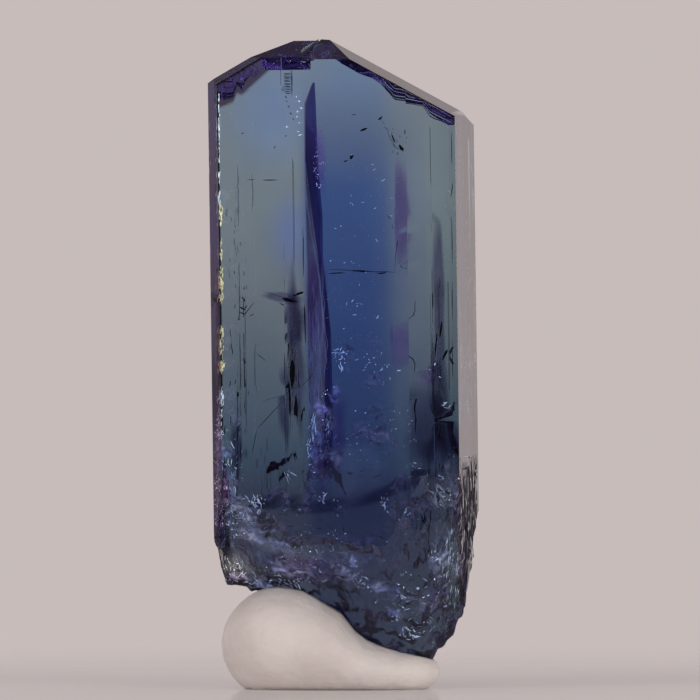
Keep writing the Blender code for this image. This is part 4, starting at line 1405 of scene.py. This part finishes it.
def add_flaws(place):
    """The crystal's flaws, with painted glints, highlights and shade among them, each kind a piece of its
    own: inside the solid, or half sunk in its side.
    """
    rng = random.Random(FLAW_SEED)
    dark = plain_look("dark_flaw_and_shade", (0.020, 0.018, 0.035), 0.5)
    faint = plain_look("faint_flaw_painted_glow", (0.55, 0.53, 0.70), 0.4, painted_glow=0.45)
    bright = plain_look("painted_glint", (0.85, 0.84, 0.95), 0.3, painted_glow=1.6)
    fibre_light = plain_look("fibre_flaw_painted_glow", (0.62, 0.62, 0.64), 0.45, painted_glow=0.25)
    cream = plain_look("painted_cream_glint", (0.95, 0.74, 0.46), 0.3, painted_glow=1.3)
    mauve_zone_painted_glow = film_look("mauve_zone_painted_glow", (0.50, 0.48, 0.50), (0.100, 0.086, 0.100), False)
    indigo_zone_painted_shade_glow = film_look("indigo_zone_painted_shade_glow", (0.27, 0.28, 0.40), (0.030, 0.025, 0.068), False)
    mauve = film_look("mauve_film", (0.78, 0.66, 0.84), (0.006, 0.004, 0.01))
    shadow = film_look("shadow_film", (0.56, 0.54, 0.64))
    pale = film_look("pale_film_painted_glow", (0.94, 0.95, 0.93), (0.040, 0.038, 0.041))
    made = (
        ("ladder_flaw", ladder(rng), dark),
        ("dark_marks_and_shade", marks(rng), dark),
        ("fine_cracks", cracks(rng), dark),
        ("faint_strokes", stroke_patches(FAINT_PATCHES, rng), faint),
        ("painted_glint_strokes", stroke_patches(BRIGHT_PATCHES, rng), bright),
        ("splinter_fibres", stroke_patches(FIBRE_PATCHES, rng), fibre_light),
        ("dark_and_shade_strokes", stroke_patches(DARK_AND_SHADE_PATCHES, rng), dark),
        ("painted_glints", glints(rng), bright),
        ("groove_bottom_highlight", keel_line(rng), faint),
        ("edge_light_white", stroke_patches(WHITE_EDGE_PATCHES, rng), bright),
        ("edge_light_cream", stroke_patches(EDGE_PATCHES, rng), cream),
        ("mauve_growth_zone", groove_film(0), mauve_zone_painted_glow),
        ("indigo_growth_zone", groove_film(1), indigo_zone_painted_shade_glow),
        ("mauve_patches", sheets(VIOLET_PATCHES, rng), mauve),
        ("deep_shadows", sheets(SHADOWS, rng), shadow),
        ("healed_veils", sheets(VEILS, rng), veil_look("veil_painted_glow", 0.5)),
        ("frosted_patches", sheets(FROST, rng), veil_look("frost_painted_glow", 1.5)),
        # Side splinters: the dark ones painted as shade streaks, the pale ones with painted glow
        ("side_splinters_dark_shade", side_splinters(260, 2.2, rng), dark),
        ("side_splinters_pale", side_splinters(110, 0.8, rng), fibre_light),
        ("pale_chips", sheets(PALE_CHIPS, rng), pale),
    )
    for name, bm, material in made:
        piece = object_from(name, bm)
        piece.data.transform(place)
        piece.data.materials.append(material)
        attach(piece, "root")


def fine_crystal():
    """The crystal, less all that is missing from its prism, flat on its faces and smooth where broken."""
    crystal = object_from("tanzanite_crystal_fine", crystal_prism())
    left_half = summit_cut(SUMMIT_LEFT, LEFT_X - 1, SUMMIT_SPLIT_X)
    right_half = summit_cut(SUMMIT_RIGHT, SUMMIT_SPLIT_X, RIGHT_X + 1)
    shapes = [
        left_facet_cut(), right_facet_cut(), left_half, right_half, back_shoulder(), groove(),
        panel(UPPER_PANEL), panel(LOWER_PANEL), splinter_cut(), fracture_block(0.0, PRISM_FOOT_Z - 1),
    ]
    shapes += [chip(*place) for place in CHIPS]
    rng = random.Random(FLUTE_SEED)
    for i in range(FLUTES):
        y = FRONT_Y + (BACK_Y - FRONT_Y) * (i + 0.5) / FLUTES
        shapes.append(side_flute(y, rng.uniform(*FLUTE_TOPS), rng.uniform(*FLUTE_RADII), rng))
    subtract(crystal, [object_from(f"cutter_{i}", shape) for i, shape in enumerate(shapes)])
    for face in crystal.data.polygons:
        chipped = any((face.center - Vector(place[:3])).length < CHIP_REACH for place in CHIPS)
        low_right = face.center.x > RIGHT_X - FLUTE_DEPTH and face.center.z < FLUTE_TOPS[1]
        fluted = low_right and abs(face.normal.x) < FLAT_NORMAL_X
        face.use_smooth = chipped or fluted or face.normal.z < BROKEN_NORMAL_Z
    crystal.data.set_sharp_from_angle(angle=SHARP_ANGLE)
    return crystal


def lean_matrix():
    """From the crystal's frame to the row frame, apart from the shift that centres the box."""
    about = Matrix.Translation((0, 0, LEAN_Z * MM))
    return about @ Matrix.Rotation(-LEAN, 4, "Y") @ about.inverted() @ Matrix.Scale(MM, 4)


def box_of(mesh, matrix):
    corners = [matrix @ vert.co for vert in mesh.vertices]
    low = Vector([min(corner[axis] for corner in corners) for axis in range(3)])
    high = Vector([max(corner[axis] for corner in corners) for axis in range(3)])
    return low, high


def stage_floor():
    bm = bmesh.new()
    bmesh.ops.create_circle(bm, cap_ends=True, radius=FLOOR_RADIUS * MM, segments=96)
    floor = object_from("table", bm)
    floor.location.z = -FLOOR_GAP * MM
    look = Look("table")
    coordinates = look.add("ShaderNodeTexCoord")
    place = look.add("ShaderNodeVectorMath", operation="SCALE")
    place.inputs["Scale"].default_value = 1 / MM
    look.join(coordinates.outputs["Object"], place.inputs[0])
    look.set({"Base Color": (0.92, 0.905, 0.90, 1.0), "Roughness": 0.18})
    look.set({"Emission Color": (*BACKDROP, 1.0), "Emission Strength": 0.08})
    look.see_through(look.zone(place.outputs[0], (0.0, 0.0, 0.0), (FLOOR_FADE,) * 3, 0.75))
    floor.data.materials.append(look.material)


def studio_world():
    """A pale backdrop all round, but dim in the crystal's inner and outer reflections of the room."""
    world = bpy.data.worlds.new("studio")
    bpy.context.scene.world = world
    world.use_nodes = True
    tree = Nodes(world.node_tree)
    path = tree.add("ShaderNodeLightPath").outputs
    way = tree.parts(tree.add("ShaderNodeTexCoord").outputs["Generated"])
    room = tree.math("MULTIPLY", tree.ramp(way["Y"], *BACKDROP_Y), tree.ramp(way["Z"], *BACKDROP_Z))
    near = tree.math("MULTIPLY", room, tree.math("LESS_THAN", path["Ray Depth"], LONGEST_PATH))
    reflected = tree.math("GREATER_THAN", path["Glossy Depth"], 0.5)
    deep = tree.math("GREATER_THAN", path["Ray Depth"], LONGEST_CLEAR_PATH)
    inner = tree.math("MAXIMUM", reflected, deep)
    shine = tree.nodes["Background"].inputs
    shine["Strength"].default_value = 1.0
    tree.join(tree.mix(inner, BACKDROP, tree.mix(near, ROOM, BACKDROP)), shine["Color"])


def area_light(name, place, colour):
    data = bpy.data.lights.new(name, "AREA")
    data.shape = "RECTANGLE"
    data.size, data.size_y = (value * MM for value in LIGHT_SIDES)
    data.energy = LIGHT_POWER
    data.color = colour
    light = bpy.data.objects.new(name, data)
    bpy.context.scene.collection.objects.link(light)
    light.location = Vector(place) * MM
    light.rotation_euler = (Vector(LIGHT_TARGET) - Vector(place)).to_track_quat("-Z", "Y").to_euler()
    light.visible_camera = False
    light.visible_glossy = False
    light.visible_transmission = False


def studio_lights():
    area_light("key", (-150, -190, 190), (1.0, 0.97, 0.95))
    area_light("fill", (190, -130, 70), (1.0, 0.97, 0.96))


def photo_camera():
    data = bpy.data.cameras.new("camera")
    camera = bpy.data.objects.new("camera", data)
    bpy.context.scene.collection.objects.link(camera)
    data.sensor_width = SENSOR_WIDTH
    data.lens = SENSOR_WIDTH * CAMERA_DISTANCE / FRAME_WIDTH
    data.clip_start = 0.01
    data.clip_end = 10.0
    right = Vector((math.cos(CAMERA_AZIMUTH), math.sin(CAMERA_AZIMUTH), 0))
    back = Vector((
        math.sin(CAMERA_AZIMUTH) * math.cos(CAMERA_ELEVATION),
        -math.cos(CAMERA_AZIMUTH) * math.cos(CAMERA_ELEVATION),
        math.sin(CAMERA_ELEVATION),
    ))
    up = back.cross(right)
    target = right * FRAME_CENTRE[0] + up * FRAME_CENTRE[1]
    camera.location = (target + back * CAMERA_DISTANCE) * MM
    camera.rotation_euler = (-back).to_track_quat("-Z", "Y").to_euler()
    bpy.context.scene.camera = camera


def render_settings():
    scene = bpy.context.scene
    scene.view_settings.view_transform = "Standard"
    for kind in ("max_bounces", "transmission_bounces", "glossy_bounces", "transparent_max_bounces"):
        setattr(scene.cycles, kind, LIGHT_TURNS)
    scene.cycles.sample_clamp_indirect = BRIGHTEST_INDIRECT


def frame_place(crystal):
    """The matrix from the crystal's frame to the row frame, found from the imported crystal's box."""
    lean = lean_matrix()
    low, high = box_of(crystal.data, lean)
    cad_low, cad_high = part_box("tanzanite_crystal")
    middle = (cad_low + cad_high - low - high) / 2
    return Matrix.Translation((middle.x, middle.y, cad_high.z - high.z + SUMMIT_RAISE * MM)) @ lean


def add_crystal(crystal):
    crystal.data.transform(PLACE)
    crystal.data.materials.clear()
    crystal.data.materials.append(tanzanite_look())
    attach(crystal, "root")
    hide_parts("tanzanite_crystal")


def add_putty():
    putty = object_from("putty_stand_fine", putty_lump())
    shift = Matrix.Translation(PLACE @ Vector() - lean_matrix() @ Vector())
    putty.data.transform(shift @ Matrix.Scale(MM, 4))
    seat = object_from("cutter_seat", fracture_block(SEAT_GAP, PRISM_TOP_Z))
    seat.data.transform(PLACE)
    subtract(putty, [seat])
    putty.data.shade_smooth()
    putty.data.materials.clear()
    putty.data.materials.append(putty_look())
    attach(putty, "root")
    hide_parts("putty_stand")


crystal_piece = fine_crystal()
PLACE = frame_place(crystal_piece)
BODY = BVHTree.FromPolygons(
    [vert.co for vert in crystal_piece.data.vertices],
    [tuple(face.vertices) for face in crystal_piece.data.polygons],
)
add_crystal(crystal_piece)
add_flaws(PLACE)
add_putty()
stage_floor()
studio_world()
studio_lights()
photo_camera()
render_settings()
